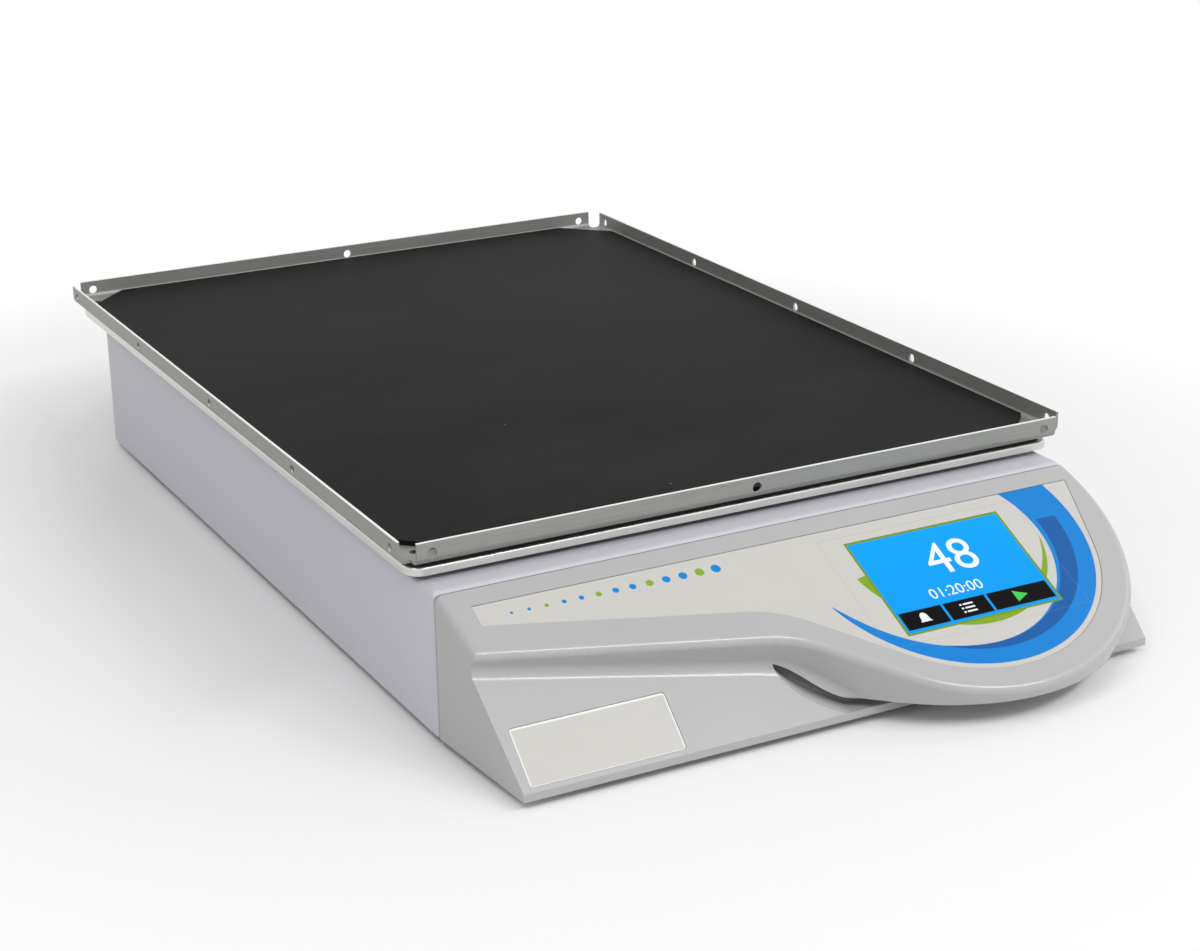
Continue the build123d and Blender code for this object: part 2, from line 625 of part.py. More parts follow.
def housing_bearings(x, y, shaft_r, bearing_r, bearing_height, height):
    levels = bearing_levels(bearing_height, height)
    return [ball_bearing(x, y, z, bearing_r, shaft_r + RUNNING_FIT, bearing_height) for z in levels]


def drive_bearing_housing():
    return bearing_housing(0, DRIVE_Y, DRIVE_BEARING_R, DRIVE_BEARING_HEIGHT, DRIVE_HOUSING_HEIGHT)


def drive_bearings():
    return group(housing_bearings(0, DRIVE_Y, DRIVE_SHAFT_R, DRIVE_BEARING_R, DRIVE_BEARING_HEIGHT,
                                  DRIVE_HOUSING_HEIGHT))


def idler_bearing_housings():
    return group([bearing_housing(x, y, IDLER_BEARING_R, IDLER_BEARING_HEIGHT, IDLER_HOUSING_HEIGHT)
                  for x, y in IDLERS.values()])


def idler_bearings():
    solids = []
    for x, y in IDLERS.values():
        solids += housing_bearings(x, y, IDLER_SHAFT_R, IDLER_BEARING_R, IDLER_BEARING_HEIGHT,
                                   IDLER_HOUSING_HEIGHT)
    return group(solids)


def all_bearing_screw_points():
    points = bearing_screw_points(0, DRIVE_Y, DRIVE_BEARING_R)
    for x, y in IDLERS.values():
        points += bearing_screw_points(x, y, IDLER_BEARING_R)
    return points


def bearing_housing_screws():
    screws = []
    for x, y in all_bearing_screw_points():
        shank = post(x, y, FOOT_HEIGHT, BEARING_SCREW_R, PAN_SHEET + BEARING_FLANGE_HEIGHT)
        head = post(x, y, PAN_TOP + BEARING_FLANGE_HEIGHT, BEARING_SCREW_HEAD_R, BEARING_SCREW_HEAD_HEIGHT)
        screws.append(shank + head)
    return group(screws)


# Pulleys, belt and motor
def pulley(x, y, belt_r, bore_r):
    """Flanged flat pulley, solid."""
    body = post(x, y, PULLEY_Z, belt_r, PULLEY_HEIGHT)
    flange = post(x, y, PULLEY_Z, belt_r + PULLEY_FLANGE_EXTRA_R, PULLEY_FLANGE_HEIGHT)
    body += flange
    body += Pos(0, 0, PULLEY_HEIGHT - PULLEY_FLANGE_HEIGHT) * flange
    return body - post(x, y, PULLEY_Z, bore_r + SEAT_FIT, PULLEY_HEIGHT)


def drive_pulley():
    body = pulley(0, DRIVE_Y, DRIVE_PULLEY_R, DRIVE_SHAFT_R)
    hub_r = DRIVE_SHAFT_R + PULLEY_HUB_EXTRA_R
    rim_r = DRIVE_PULLEY_R - PULLEY_RIM
    sink = (PULLEY_HEIGHT - PULLEY_WEB_HEIGHT) / 2
    recess = post(0, DRIVE_Y, PULLEY_Z, rim_r, sink) - post(0, DRIVE_Y, PULLEY_Z, hub_r, sink)
    body -= recess
    body -= Pos(0, 0, PULLEY_HEIGHT - sink) * recess
    for x, y in circle_points(0, DRIVE_Y, (hub_r + rim_r) / 2, PULLEY_WINDOW_COUNT):
        body -= post(x, y, PULLEY_Z, PULLEY_WINDOW_R, PULLEY_HEIGHT)
    return body


def motor_pulley():
    return pulley(0, MOTOR_Y, MOTOR_PULLEY_R, MOTOR_SHAFT_R)


def motor_shaft():
    bottom = PAN_TOP + MOTOR_BRACKET_SHEET + MOTOR_HEIGHT - MOTOR_SHAFT_INSIDE
    return post(0, MOTOR_Y, bottom, MOTOR_SHAFT_R, PULLEY_Z + PULLEY_HEIGHT + MOTOR_SHAFT_PROUD - bottom)


def belt_outline(extra):
    """Loop round both pulleys at a distance from their belt faces."""
    big = DRIVE_PULLEY_R + extra
    small = MOTOR_PULLEY_R + extra
    reach = DRIVE_Y - MOTOR_Y
    lean = math.acos((big - small) / reach)
    s, c = math.sin(lean), math.cos(lean)
    right_big = (big * s, DRIVE_Y - big * c)
    left_big = (-big * s, DRIVE_Y - big * c)
    right_small = (small * s, MOTOR_Y - small * c)
    left_small = (-small * s, MOTOR_Y - small * c)
    loop = [
        Line(right_small, right_big),
        ThreePointArc(right_big, (0, DRIVE_Y + big), left_big),
        Line(left_big, left_small),
        ThreePointArc(left_small, (0, MOTOR_Y - small), right_small),
    ]
    return make_face(loop)


def drive_belt():
    ring = belt_outline(FACE_GAP + BELT_THICKNESS) - belt_outline(FACE_GAP)
    return Pos(0, 0, PULLEY_Z + PULLEY_FLANGE_HEIGHT + BELT_SIDE_GAP) * extrude(ring, BELT_WIDTH)


def motor():
    bottom = PAN_TOP + MOTOR_BRACKET_SHEET
    body = block(0, MOTOR_Y, bottom, MOTOR_SIZE, MOTOR_SIZE, MOTOR_HEIGHT)
    body = chamfer(upright_edges(body), MOTOR_EDGE)
    outside = MOTOR_SIZE + 2 * MOTOR_FIN_GAP
    inside = MOTOR_SIZE - 2 * MOTOR_FIN_GAP
    for rise in row(MOTOR_FIN_PITCH, MOTOR_FIN_COUNT):
        z = bottom + (MOTOR_HEIGHT - MOTOR_FIN_GAP) / 2 + rise
        body -= block(0, MOTOR_Y, z, outside, outside, MOTOR_FIN_GAP) - block(
            0, MOTOR_Y, z, inside, inside, MOTOR_FIN_GAP)
    bore_depth = MOTOR_SHAFT_INSIDE + FACE_GAP
    body -= post(0, MOTOR_Y, bottom + MOTOR_HEIGHT - bore_depth, MOTOR_SHAFT_R + FACE_GAP, bore_depth)
    return body


def motor_bracket():
    """Foot plate of the motor, with long slots that let the belt be tensioned."""
    side = MOTOR_SIZE + 2 * MOTOR_BRACKET_MARGIN
    plate = block(0, MOTOR_Y, PAN_TOP, side, side, MOTOR_BRACKET_SHEET)
    plate = fillet(upright_edges(plate), MOTOR_BRACKET_CORNER_R)
    slot = extrude(SlotOverall(MOTOR_SLOT_LENGTH, MOTOR_SLOT_WIDTH, rotation=90), MOTOR_BRACKET_SHEET)
    for x, y in motor_screw_points():
        plate -= Pos(x, y, PAN_TOP) * slot
    return plate


def motor_screw_points():
    x = (MOTOR_SIZE + MOTOR_BRACKET_MARGIN) / 2
    y = x - MOTOR_SCREW_SETBACK
    return [(sx * x, MOTOR_Y + sy * y) for sx in (-1, 1) for sy in (-1, 1)]


def motor_bracket_screws():
    screws = []
    for x, y in motor_screw_points():
        shank = post(x, y, FOOT_HEIGHT, BEARING_SCREW_R, PAN_SHEET + MOTOR_BRACKET_SHEET)
        head = post(x, y, PAN_TOP + MOTOR_BRACKET_SHEET, BEARING_SCREW_HEAD_R, BEARING_SCREW_HEAD_HEIGHT)
        screws.append(shank + head)
    return group(screws)


# Base pan, housing cover and feet
def foot_points():
    rows = (HOUSING_FRONT + FOOT_INSET_Y, HOUSING_BACK - FOOT_INSET_Y)
    return [(sx * FOOT_X, y) for sx in (-1, 1) for y in rows]


def base_pan():
    width = HOUSING_WIDTH - 2 * (HOUSING_SHEET + SHEET_CLEARANCE)
    front = HOUSING_FRONT + HOUSING_SHEET + SHEET_CLEARANCE
    back = HOUSING_BACK - HOUSING_SHEET - SHEET_CLEARANCE
    depth = back - front
    middle = (front + back) / 2
    pan = block(0, middle, FOOT_HEIGHT, width, depth, PAN_FLANGE)
    pan = fillet(upright_edges(pan), HOUSING_BEND)
    pan = fillet(pan.faces().sort_by(Axis.Z)[0].edges(), PAN_SHEET)
    hollow = block(0, middle, PAN_TOP, width - 2 * PAN_SHEET, depth - 2 * PAN_SHEET, PAN_FLANGE)
    pan -= fillet(upright_edges(hollow), HOUSING_BEND - PAN_SHEET)
    for x, y in all_bearing_screw_points() + motor_screw_points():
        pan -= post(x, y, FOOT_HEIGHT, BEARING_SCREW_R + SEAT_FIT, PAN_SHEET)
    for x, y in foot_points():
        pan -= post(x, y, FOOT_HEIGHT, FOOT_SCREW_R + SEAT_FIT, PAN_SHEET)
    for x in row(VENT_PITCH, VENT_COUNT):
        slot = extrude(SlotOverall(VENT_LENGTH, VENT_WIDTH, rotation=90), PAN_SHEET)
        pan -= Pos(x, HOUSING_FRONT + VENT_INSET, FOOT_HEIGHT) * slot
    for x, z in cover_screw_points():
        pan -= rod_y(x, HOUSING_BACK - 8, z, COVER_SCREW_R + SEAT_FIT, 8)
    return pan


def cover_screw_points():
    """Screws that hold the cover to the pan's back flange, as (x, z)."""
    return [(x, FOOT_HEIGHT + PAN_FLANGE * 0.55) for x in row(COVER_SCREW_PITCH, 3)]


def housing_cover():
    depth = HOUSING_BACK - HOUSING_FRONT
    middle = (HOUSING_FRONT + HOUSING_BACK) / 2
    body = block(0, middle, FOOT_HEIGHT, HOUSING_WIDTH, depth, HOUSING_HEIGHT)
    body = fillet(upright_edges(body), HOUSING_BEND)
    body = fillet(body.faces().sort_by(Axis.Z)[-1].edges(), HOUSING_BEND)
    hollow = block(0, middle, FOOT_HEIGHT, HOUSING_WIDTH - 2 * HOUSING_SHEET, depth - 2 * HOUSING_SHEET,
                   HOUSING_HEIGHT - HOUSING_SHEET)
    hollow = fillet(upright_edges(hollow), HOUSING_BEND - HOUSING_SHEET)
    body -= fillet(hollow.faces().sort_by(Axis.Z)[-1].edges(), HOUSING_BEND - HOUSING_SHEET)
    for x, y, bearing_r in hub_places():
        hole_r = bearing_r + HUB_WALL + CRANK_R + HUB_HOLE_MARGIN
        body -= post(x, y + CRANK_R, HOUSING_TOP - HOUSING_SHEET, hole_r, HOUSING_SHEET)
    fittings = [(INLET_X, INLET_BODY_WIDTH, INLET_BODY_HEIGHT), (SWITCH_X, SWITCH_BODY_WIDTH, SWITCH_BODY_HEIGHT)]
    for x, width, height in fittings:
        body -= block(x, HOUSING_BACK, INLET_Z - height / 2 - SHEET_CLEARANCE, width + 2 * SHEET_CLEARANCE,
                      4 * HOUSING_SHEET, height + 2 * SHEET_CLEARANCE)
    for x in inlet_screw_places():
        body -= rod_y(x, HOUSING_BACK - 5, INLET_Z, COVER_SCREW_R + SEAT_FIT, 10)
    body -= block(0, HOUSING_FRONT, HOUSING_TOP - CABLE_WINDOW_DROP, CABLE_WINDOW_WIDTH, 4 * HOUSING_SHEET,
                  CABLE_WINDOW_HEIGHT)
    for x, z in CONSOLE_BOSSES:
        body -= rod_y(x, HOUSING_FRONT - 5, z, COVER_SCREW_R + SEAT_FIT, 10)
    for x, z in cover_screw_points():
        body -= rod_y(x, HOUSING_BACK - 5, z, COVER_SCREW_R + SEAT_FIT, 10)
    return body


def foot(x, y):
    profile = Polyline(
        (FOOT_RECESS_R, 0), (FOOT_R - 1.0, 0), (FOOT_R, 1.0), (FOOT_R - FOOT_TAPER, FOOT_HEIGHT),
        (FOOT_SCREW_R + SEAT_FIT, FOOT_HEIGHT), (FOOT_SCREW_R + SEAT_FIT, FOOT_RECESS),
        (FOOT_RECESS_R, FOOT_RECESS), (FOOT_RECESS_R, 0))
    return Pos(x, y, 0) * revolve(Plane.XZ * make_face(profile), Axis.Z)


def feet():
    return group([foot(x, y) for x, y in foot_points()])


def foot_screws():
    screws = []
    for x, y in foot_points():
        shank = post(x, y, FOOT_RECESS, FOOT_SCREW_R, FOOT_HEIGHT + PAN_SHEET + 3.0 - FOOT_RECESS)
        head = post(x, y, FOOT_RECESS - FOOT_SCREW_HEAD_HEIGHT, FOOT_SCREW_HEAD_R, FOOT_SCREW_HEAD_HEIGHT)
        screws.append(shank + head)
    return group(screws)


def cover_screws():
    screws = []
    for x, z in cover_screw_points():
        length = HOUSING_SHEET + SHEET_CLEARANCE + PAN_SHEET + 1.0
        shank = rod_y(x, HOUSING_BACK - length, z, COVER_SCREW_R, length)
        head = rod_y(x, HOUSING_BACK, z, COVER_SCREW_HEAD_R, COVER_SCREW_HEAD_HEIGHT)
        screws.append(shank + head)
    return group(screws)


# Front console. Points on the deck are (x, s), with s measured down the slope from the seam.
def deck_outline(left_top, left, left_depth, top, lobe_x, lobe_s, lobe_r, knee_r, right_angle, right_top, grow):
    """Closed outline: straight left part, hollow knee, sweep and round lobe, all moved out by grow."""
    a = math.radians(DECK_LEFT_SLOPE)
    d = math.radians(SWEEP_ANGLE)
    p = math.radians(right_angle)
    r = lobe_r + grow
    left_s = left_depth + grow / math.cos(a)
    sweep_end = (lobe_x - r * math.sin(d), lobe_s + r * math.cos(d))
    sweep_rise = sweep_end[1] - math.tan(d) * sweep_end[0]
    left_rise = left_s - math.tan(a) * left
    knee_x = (sweep_rise - left_rise) / (math.tan(a) - math.tan(d))
    knee_s = left_s + math.tan(a) * (knee_x - left)
    knee_run = (knee_r - grow) * math.tan((d - a) / 2)
    knee_in = (knee_x - knee_run * math.cos(a), knee_s - knee_run * math.sin(a))
    knee_out = (knee_x + knee_run * math.cos(d), knee_s + knee_run * math.sin(d))
    low = (lobe_x, lobe_s + r)
    lobe_end = (lobe_x + r * math.cos(p), lobe_s + r * math.sin(p))
    points = [(left_top - grow, top), (left - grow, left_s - math.tan(a) * grow), knee_in, knee_out, sweep_end, low,
              lobe_end, (right_top + grow, top)]
    flat = [(x, -s) for x, s in points]
    edges = [
        Line(flat[0], flat[1]),
        Line(flat[1], flat[2]),
        TangentArc(flat[2], flat[3], tangent=(math.cos(a), -math.sin(a))),
        Line(flat[3], flat[4]),
        ThreePointArc(flat[4], flat[5], flat[6]),
        TangentArc(flat[6], flat[7], tangent=(math.sin(p), math.cos(p))),
        Line(flat[7], flat[0]),
    ]
    return make_face(edges)


def overlay_face(grow):
    return deck_outline(OVERLAY_LEFT, OVERLAY_LEFT, OVERLAY_LEFT_DEPTH, OVERLAY_TOP - grow, OVERLAY_LOBE_X,
                        OVERLAY_LOBE_S, OVERLAY_LOBE_R, OVERLAY_KNEE_R, OVERLAY_RIGHT_ANGLE, OVERLAY_RIGHT_TOP, grow)


def on_deck(shape, depth=0.0):
    """Places a shape drawn flat on the deck, sunk below it by depth."""
    return DECK * Pos(0, 0, -depth) * shape


def console_blank(inset):
    """Solid of the whole console, or of its hollow when inset is the wall."""
    outline = deck_outline(-HOUSING_WIDTH, -HOUSING_WIDTH, DECK_LEFT_EDGE, 0.0, LOBE_X, LOBE_S, LOBE_R,
                           SWEEP_KNEE_R, LOBE_RIGHT_ANGLE, DECK_RIGHT_TOP, -inset)
    deck_part = on_deck(extrude(outline, amount=-2 * HOUSING_HEIGHT), inset)
    reach = 2 * HOUSING_WIDTH
    deck_part &= block(0, CONSOLE_BACK - reach / 2, LOBE_UNDERSIDE + inset, reach, reach, HOUSING_HEIGHT)
    low = FOOT_HEIGHT + inset
    shift = inset / math.cos(SLOPE_T)
    front = CONSOLE_FRONT + inset
    band_top = FOOT_HEIGHT + CONSOLE_BAND - shift + inset * math.tan(SLOPE_T)
    band_top = max(band_top, low + 0.5)
    deck_low = HOUSING_TOP - inset / math.cos(DECK_T)
    meet = (deck_low - CONSOLE_BACK * math.tan(DECK_T) - band_top + front * math.tan(SLOPE_T)) / (
        math.tan(SLOPE_T) - math.tan(DECK_T))
    meet_z = deck_low + (meet - CONSOLE_BACK) * math.tan(DECK_T)
    profile = Polyline((CONSOLE_BACK, low), (front, low), (front, band_top), (meet, meet_z),
                       (CONSOLE_BACK, deck_low), (CONSOLE_BACK, low))
    wedge = extrude(Plane.YZ * make_face(profile), amount=HOUSING_WIDTH, both=True)
    half_back = HOUSING_HALF - inset
    footprint = Polyline(
        (-half_back, CONSOLE_BACK), (-(CONSOLE_FRONT_HALF_LEFT - inset), CONSOLE_FRONT),
        (-(CONSOLE_FRONT_HALF_LEFT - inset), 2 * CONSOLE_FRONT), (reach, 2 * CONSOLE_FRONT), (reach, CONSOLE_BACK),
        (-half_back, CONSOLE_BACK))
    right_cut = Polyline(
        (half_back, CONSOLE_BACK), (CONSOLE_FRONT_HALF_RIGHT - inset, CONSOLE_FRONT), (reach, CONSOLE_FRONT),
        (reach, CONSOLE_BACK), (half_back, CONSOLE_BACK))
    wedge -= extrude(make_face(right_cut), HOUSING_TOP)
    return (deck_part + wedge) & extrude(make_face(footprint), HOUSING_TOP)


def scoop_layer(setback, shift, grow):
    """Outline of the scoop on a plane behind the lower face, its shift fading out towards the rim's peak."""
    floor_z, peak_z = SCOOP_RIM[0][1], SCOOP_RIM[-1][1]

    def flat(x, z, moved, lift):
        """A point seen from the front, laid on the sloping plane."""
        lean = moved * (1 - ((z - floor_z) / (peak_z - floor_z)) ** 2)
        return LOBE_X + x + lean, (z + lift - floor_z) / math.sin(SLOPE_T)

    rim = [flat(x - grow, z, shift, 0.0) for x, z in SCOOP_RIM]
    rim[0] = flat(SCOOP_RIM[0][0] - grow, floor_z, shift, -grow)
    rim[-1] = flat(SCOOP_RIM[-1][0] - grow, peak_z, shift, grow)
    ceiling = [rim[-1]] + [flat(x, z, max(shift, 0.0), grow) for x, z in SCOOP_CEILING]
    right_high = flat(SCOOP_RIGHT + grow, LOBE_UNDERSIDE, 0.0, grow)
    right_low = flat(SCOOP_RIGHT + grow, floor_z, 0.0, -grow)
    outline = make_face([
        Spline(*rim),
        Spline(*ceiling),
        Line(ceiling[-1], right_high),
        Line(right_high, right_low),
        Line(right_low, rim[0]),
    ])
    return Pos(0, setback, 0) * (LOWER_FACE * outline)


def scoop(grow):
    """Shadowed hollow between the lower face and the underside of the lobe, with a flared left wall."""
    layers = [scoop_layer(y + min(y, grow / math.sin(SLOPE_T)), shift, grow) for y, shift in SCOOP_LAYERS]
    front = extrude(layers[0], amount=CONSOLE_DEPTH, dir=(0, -1, 0))
    reach = 2 * HOUSING_WIDTH
    front &= block(0, CONSOLE_FRONT - 1.0 + reach / 2, 0, reach, reach, HOUSING_TOP)
    return [loft(layers), front]


def lip_edges(body):
    """Outer edges of the deck, without the seam."""
    chosen = []
    for edge in body.edges():
        points = [edge.position_at(t) for t in (0, 0.5, 1)]
        on_plane = all(abs((p - DECK.origin).dot(DECK.z_dir)) < 0.001 for p in points)
        if on_plane and min(p.Y for p in points) < CONSOLE_BACK - 1.0:
            chosen.append(edge)
    return chosen


def cove_edges(body):
    """Hollow edges where the deck's wall meets the lower face, left of the sweep."""
    chosen = []
    for edge in body.edges():
        points = [edge.position_at(t) for t in (0, 0.5, 1)]
        on_plane = all(abs((p - LOWER_FACE.origin).dot(LOWER_FACE.z_dir)) < 0.001 for p in points)
        high = min(p.Z for p in points) > LOBE_UNDERSIDE + 5.0
        inner = abs(points[1].X) < HOUSING_HALF - 6.0
        if on_plane and high and inner and points[1].X < LOBE_X:
            chosen.append(edge)
    return chosen


def under_edges(body):
    """Lower outer edges of the lobe, in front of the lower face."""
    level = [e for e in body.edges() if abs(e.bounding_box().max.Z - LOBE_UNDERSIDE) < 0.001]
    level = [e for e in level if abs(e.bounding_box().min.Z - LOBE_UNDERSIDE) < 0.001]
    return [e for e in level if e.center().Y < CONSOLE_FRONT - 3.0]


def seam_edge(body):
    """Upper edge beside the housing."""
    return [e for e in body.edges() if e.bounding_box().min.Z > HOUSING_TOP - 0.001]


def front_console():
    body = console_blank(0.0)
    body = fillet(cove_edges(body), COVE_R)
    body = fillet(lip_edges(body), LIP_ROUND)
    body -= scoop(0.0)
    body = fillet(under_edges(body), UNDER_ROUND)
    body = fillet(seam_edge(body), SEAM_ROUND)
    body -= console_blank(CONSOLE_WALL) - scoop(CONSOLE_WALL)
    body -= on_deck(extrude(overlay_face(OVERLAY_SIDE_GAP), amount=-OVERLAY_POCKET))
    window = Rectangle(SCREEN_WIDTH + 2 * SCREEN_GAP, SCREEN_HEIGHT + 2 * SCREEN_GAP)
    body -= on_deck(Pos(SCREEN_X, -SCREEN_S) * extrude(window, amount=-2 * CONSOLE_WALL))
    badge = RectangleRounded(BADGE_WIDTH, BADGE_HEIGHT, BADGE_CORNER_R)
    body -= LOWER_FACE * Pos(BADGE_X, BADGE_SLANT) * extrude(badge, amount=-BADGE_POCKET)
    inside = console_blank(CONSOLE_WALL / 2)
    for x, z in CONSOLE_BOSSES:
        boss = rod_y(x, CONSOLE_BACK - CONSOLE_BOSS_LENGTH, z, CONSOLE_BOSS_R, CONSOLE_BOSS_LENGTH)
        web = block(x, CONSOLE_BACK - CONSOLE_BOSS_LENGTH / 2, z - CONSOLE_WEB / 2,
                    2 * (CONSOLE_BOSS_INSET + 2 * CONSOLE_WALL), CONSOLE_BOSS_LENGTH, CONSOLE_WEB)
        boss = (boss + web) & inside
        body += boss - rod_y(x, CONSOLE_BACK - 10, z, COVER_SCREW_R + SEAT_FIT, 12)
    for x, s in screen_post_points():
        depth = CONSOLE_WALL + SCREEN_FLANGE_HEIGHT
        post_length = depth - OVERLAY_POCKET
        body += on_deck(Pos(x, -s) * extrude(Circle(SCREEN_POST_R), amount=-post_length), OVERLAY_POCKET)
    return body


def control_overlay():
    label = extrude(overlay_face(0.0), amount=-OVERLAY_THICKNESS)
    window = Rectangle(SCREEN_WIDTH + SCREEN_GAP, SCREEN_HEIGHT + SCREEN_GAP)
    label -= Pos(SCREEN_X, -SCREEN_S) * extrude(window, amount=-OVERLAY_THICKNESS)
    return on_deck(label, OVERLAY_POCKET - OVERLAY_THICKNESS)


def touch_screen():
    """Glass-fronted display module: a raised window part on a wider metal body behind the deck."""
    top = OVERLAY_POCKET - OVERLAY_THICKNESS
    glass = extrude(Rectangle(SCREEN_WIDTH, SCREEN_HEIGHT), amount=-(CONSOLE_WALL + FACE_GAP - top))
    module = on_deck(Pos(SCREEN_X, -SCREEN_S) * glass, top)
    back = Rectangle(SCREEN_WIDTH + 2 * SCREEN_FLANGE, SCREEN_HEIGHT + 2 * SCREEN_FLANGE)
    thick = SCREEN_FLANGE_HEIGHT - FACE_GAP
    return module + on_deck(Pos(SCREEN_X, -SCREEN_S) * extrude(back, amount=-thick), CONSOLE_WALL + FACE_GAP)


def screen_post_points():
    dx = SCREEN_WIDTH / 2 + SCREEN_FLANGE + SCREEN_POST_R + 1.0
    ds = SCREEN_HEIGHT / 2 - 4.0
    return [(SCREEN_X + sx * dx, SCREEN_S + ss * ds) for sx in (-1, 1) for ss in (-1, 1)]


def screen_frame():
    """Sheet frame that clamps the display module to the posts of the console."""
    width = SCREEN_WIDTH + 2 * (SCREEN_FLANGE + 2 * SCREEN_POST_R + 2.0)
    height = SCREEN_HEIGHT + 2 * SCREEN_FLANGE
    sheet = RectangleRounded(width, height, 3.0)
    sheet -= Rectangle(SCREEN_WIDTH - 12.0, SCREEN_HEIGHT - 16.0)
    depth = CONSOLE_WALL + SCREEN_FLANGE_HEIGHT
    return on_deck(Pos(SCREEN_X, -SCREEN_S) * extrude(sheet, amount=-SCREEN_FRAME_SHEET), depth)


def board_post_points():
    dx = BOARD_WIDTH / 2 - 5.0
    ds = BOARD_HEIGHT / 2 - 5.0
    return [(SCREEN_X + sx * dx, SCREEN_S + ss * ds) for sx in (-1, 1) for ss in (-1, 1)]


def board_standoffs():
    top = CONSOLE_WALL + SCREEN_FLANGE_HEIGHT + SCREEN_FRAME_SHEET
    posts = []
    standoff = extrude(RegularPolygon(BOARD_STANDOFF_R, 6), amount=-(BOARD_DEPTH - top))
    for x, s in board_post_points():
        posts.append(on_deck(Pos(x, -s) * standoff, top))
    return group(posts)


def control_board():
    sheet = extrude(Rectangle(BOARD_WIDTH, BOARD_HEIGHT), amount=-BOARD_THICKNESS)
    board = on_deck(Pos(SCREEN_X, -SCREEN_S) * sheet, BOARD_DEPTH)
    for x, s, width, height, thick in BOARD_CHIPS:
        chip = extrude(Rectangle(width, height), amount=-thick)
        board += on_deck(Pos(SCREEN_X + x, -SCREEN_S - s) * chip, BOARD_DEPTH + BOARD_THICKNESS)
    return board


def badge_plate():
    plate = extrude(RectangleRounded(BADGE_WIDTH - 2 * BADGE_GAP, BADGE_HEIGHT - 2 * BADGE_GAP,
                                     BADGE_CORNER_R - BADGE_GAP), amount=BADGE_THICKNESS)
    return LOWER_FACE * Pos(BADGE_X, BADGE_SLANT, -BADGE_POCKET) * plate


def console_screws():
    screws = []
    for x, z in CONSOLE_BOSSES:
        inside = HOUSING_FRONT + HOUSING_SHEET
        shank = rod_y(x, CONSOLE_BACK - 8.0, z, COVER_SCREW_R, inside - CONSOLE_BACK + 8.0)
        head = rod_y(x, inside, z, COVER_SCREW_HEAD_R, COVER_SCREW_HEAD_HEIGHT)
        screws.append(shank + head)
    return group(screws)


# Power supply
def power_supply():
    """Closed sheet-metal case with a step for its terminal strip."""
    body = block(0, SUPPLY_Y, PAN_TOP, SUPPLY_WIDTH, SUPPLY_DEPTH, SUPPLY_HEIGHT)
    body = chamfer(body.faces().sort_by(Axis.Z)[-1].edges(), SUPPLY_EDGE)
    body -= block((SUPPLY_WIDTH - SUPPLY_STEP) / 2, SUPPLY_Y, PAN_TOP + SUPPLY_HEIGHT - SUPPLY_STEP_HEIGHT,
                  SUPPLY_STEP, SUPPLY_DEPTH - 2 * SUPPLY_STEP_MARGIN, SUPPLY_STEP_HEIGHT)
    return body


# Back wall fittings
def inlet_slot(width, height, z, depth):
    """Rectangular hollow sunk from the inlet's outer face."""
    outer_y = HOUSING_BACK + INLET_FLANGE_SHEET
    return block(INLET_X, outer_y - depth / 2, z - height / 2, width, depth, height)


def power_inlet():
    flange = block(INLET_X, HOUSING_BACK + INLET_FLANGE_SHEET / 2, INLET_Z - INLET_FLANGE_HEIGHT / 2,
                   INLET_FLANGE_WIDTH, INLET_FLANGE_SHEET, INLET_FLANGE_HEIGHT)
    flange = fillet(flange.edges().filter_by(Axis.Y), 6.0)
    body = block(INLET_X, HOUSING_BACK - INLET_BODY_DEPTH / 2, INLET_Z - INLET_BODY_HEIGHT / 2,
                 INLET_BODY_WIDTH, INLET_BODY_DEPTH, INLET_BODY_HEIGHT)
    body += flange
    socket_z = INLET_Z - SOCKET_DROP
    socket = inlet_slot(SOCKET_WIDTH, SOCKET_HEIGHT, socket_z, SOCKET_DEPTH)
    corners = [e for e in socket.edges().filter_by(Axis.Y) if e.center().Z > socket_z]
    body -= chamfer(corners, SOCKET_CHAMFER)
    body -= inlet_slot(FUSE_WIDTH + 2 * FACE_GAP, FUSE_HEIGHT + 2 * FACE_GAP, INLET_Z + FUSE_RISE, FUSE_DEPTH)
    for x in inlet_screw_places():
        body -= rod_y(x, HOUSING_BACK - 1, INLET_Z, COVER_SCREW_R + SEAT_FIT, 6)
    return body


def inlet_screw_places():
    return [INLET_X + dx for dx in row(INLET_SCREW_PITCH, 2)]


def inlet_pins():
    socket_z = INLET_Z - SOCKET_DROP
    back = HOUSING_BACK + INLET_FLANGE_SHEET - SOCKET_DEPTH
    places = [(-PIN_SPACING, -2.0), (0.0, 2.0), (PIN_SPACING, -2.0)]
    pins = []
    for dx, dz in places:
        pin = block(INLET_X + dx, back + PIN_LENGTH / 2, socket_z + dz - PIN_HEIGHT / 2,
                    PIN_WIDTH, PIN_LENGTH, PIN_HEIGHT)
        pins.append(chamfer(pin.faces().sort_by(Axis.Y)[-1].edges(), 0.6))
    return group(pins)


def inlet_screws():
    screws = []
    outer = HOUSING_BACK + INLET_FLANGE_SHEET
    length = INLET_FLANGE_SHEET + HOUSING_SHEET + 3.0
    for x in inlet_screw_places():
        shank = rod_y(x, outer - length, INLET_Z, COVER_SCREW_R, length)
        head = rod_y(x, outer, INLET_Z, COVER_SCREW_HEAD_R, COVER_SCREW_HEAD_HEIGHT)
        screws.append(shank + head)
    return group(screws)


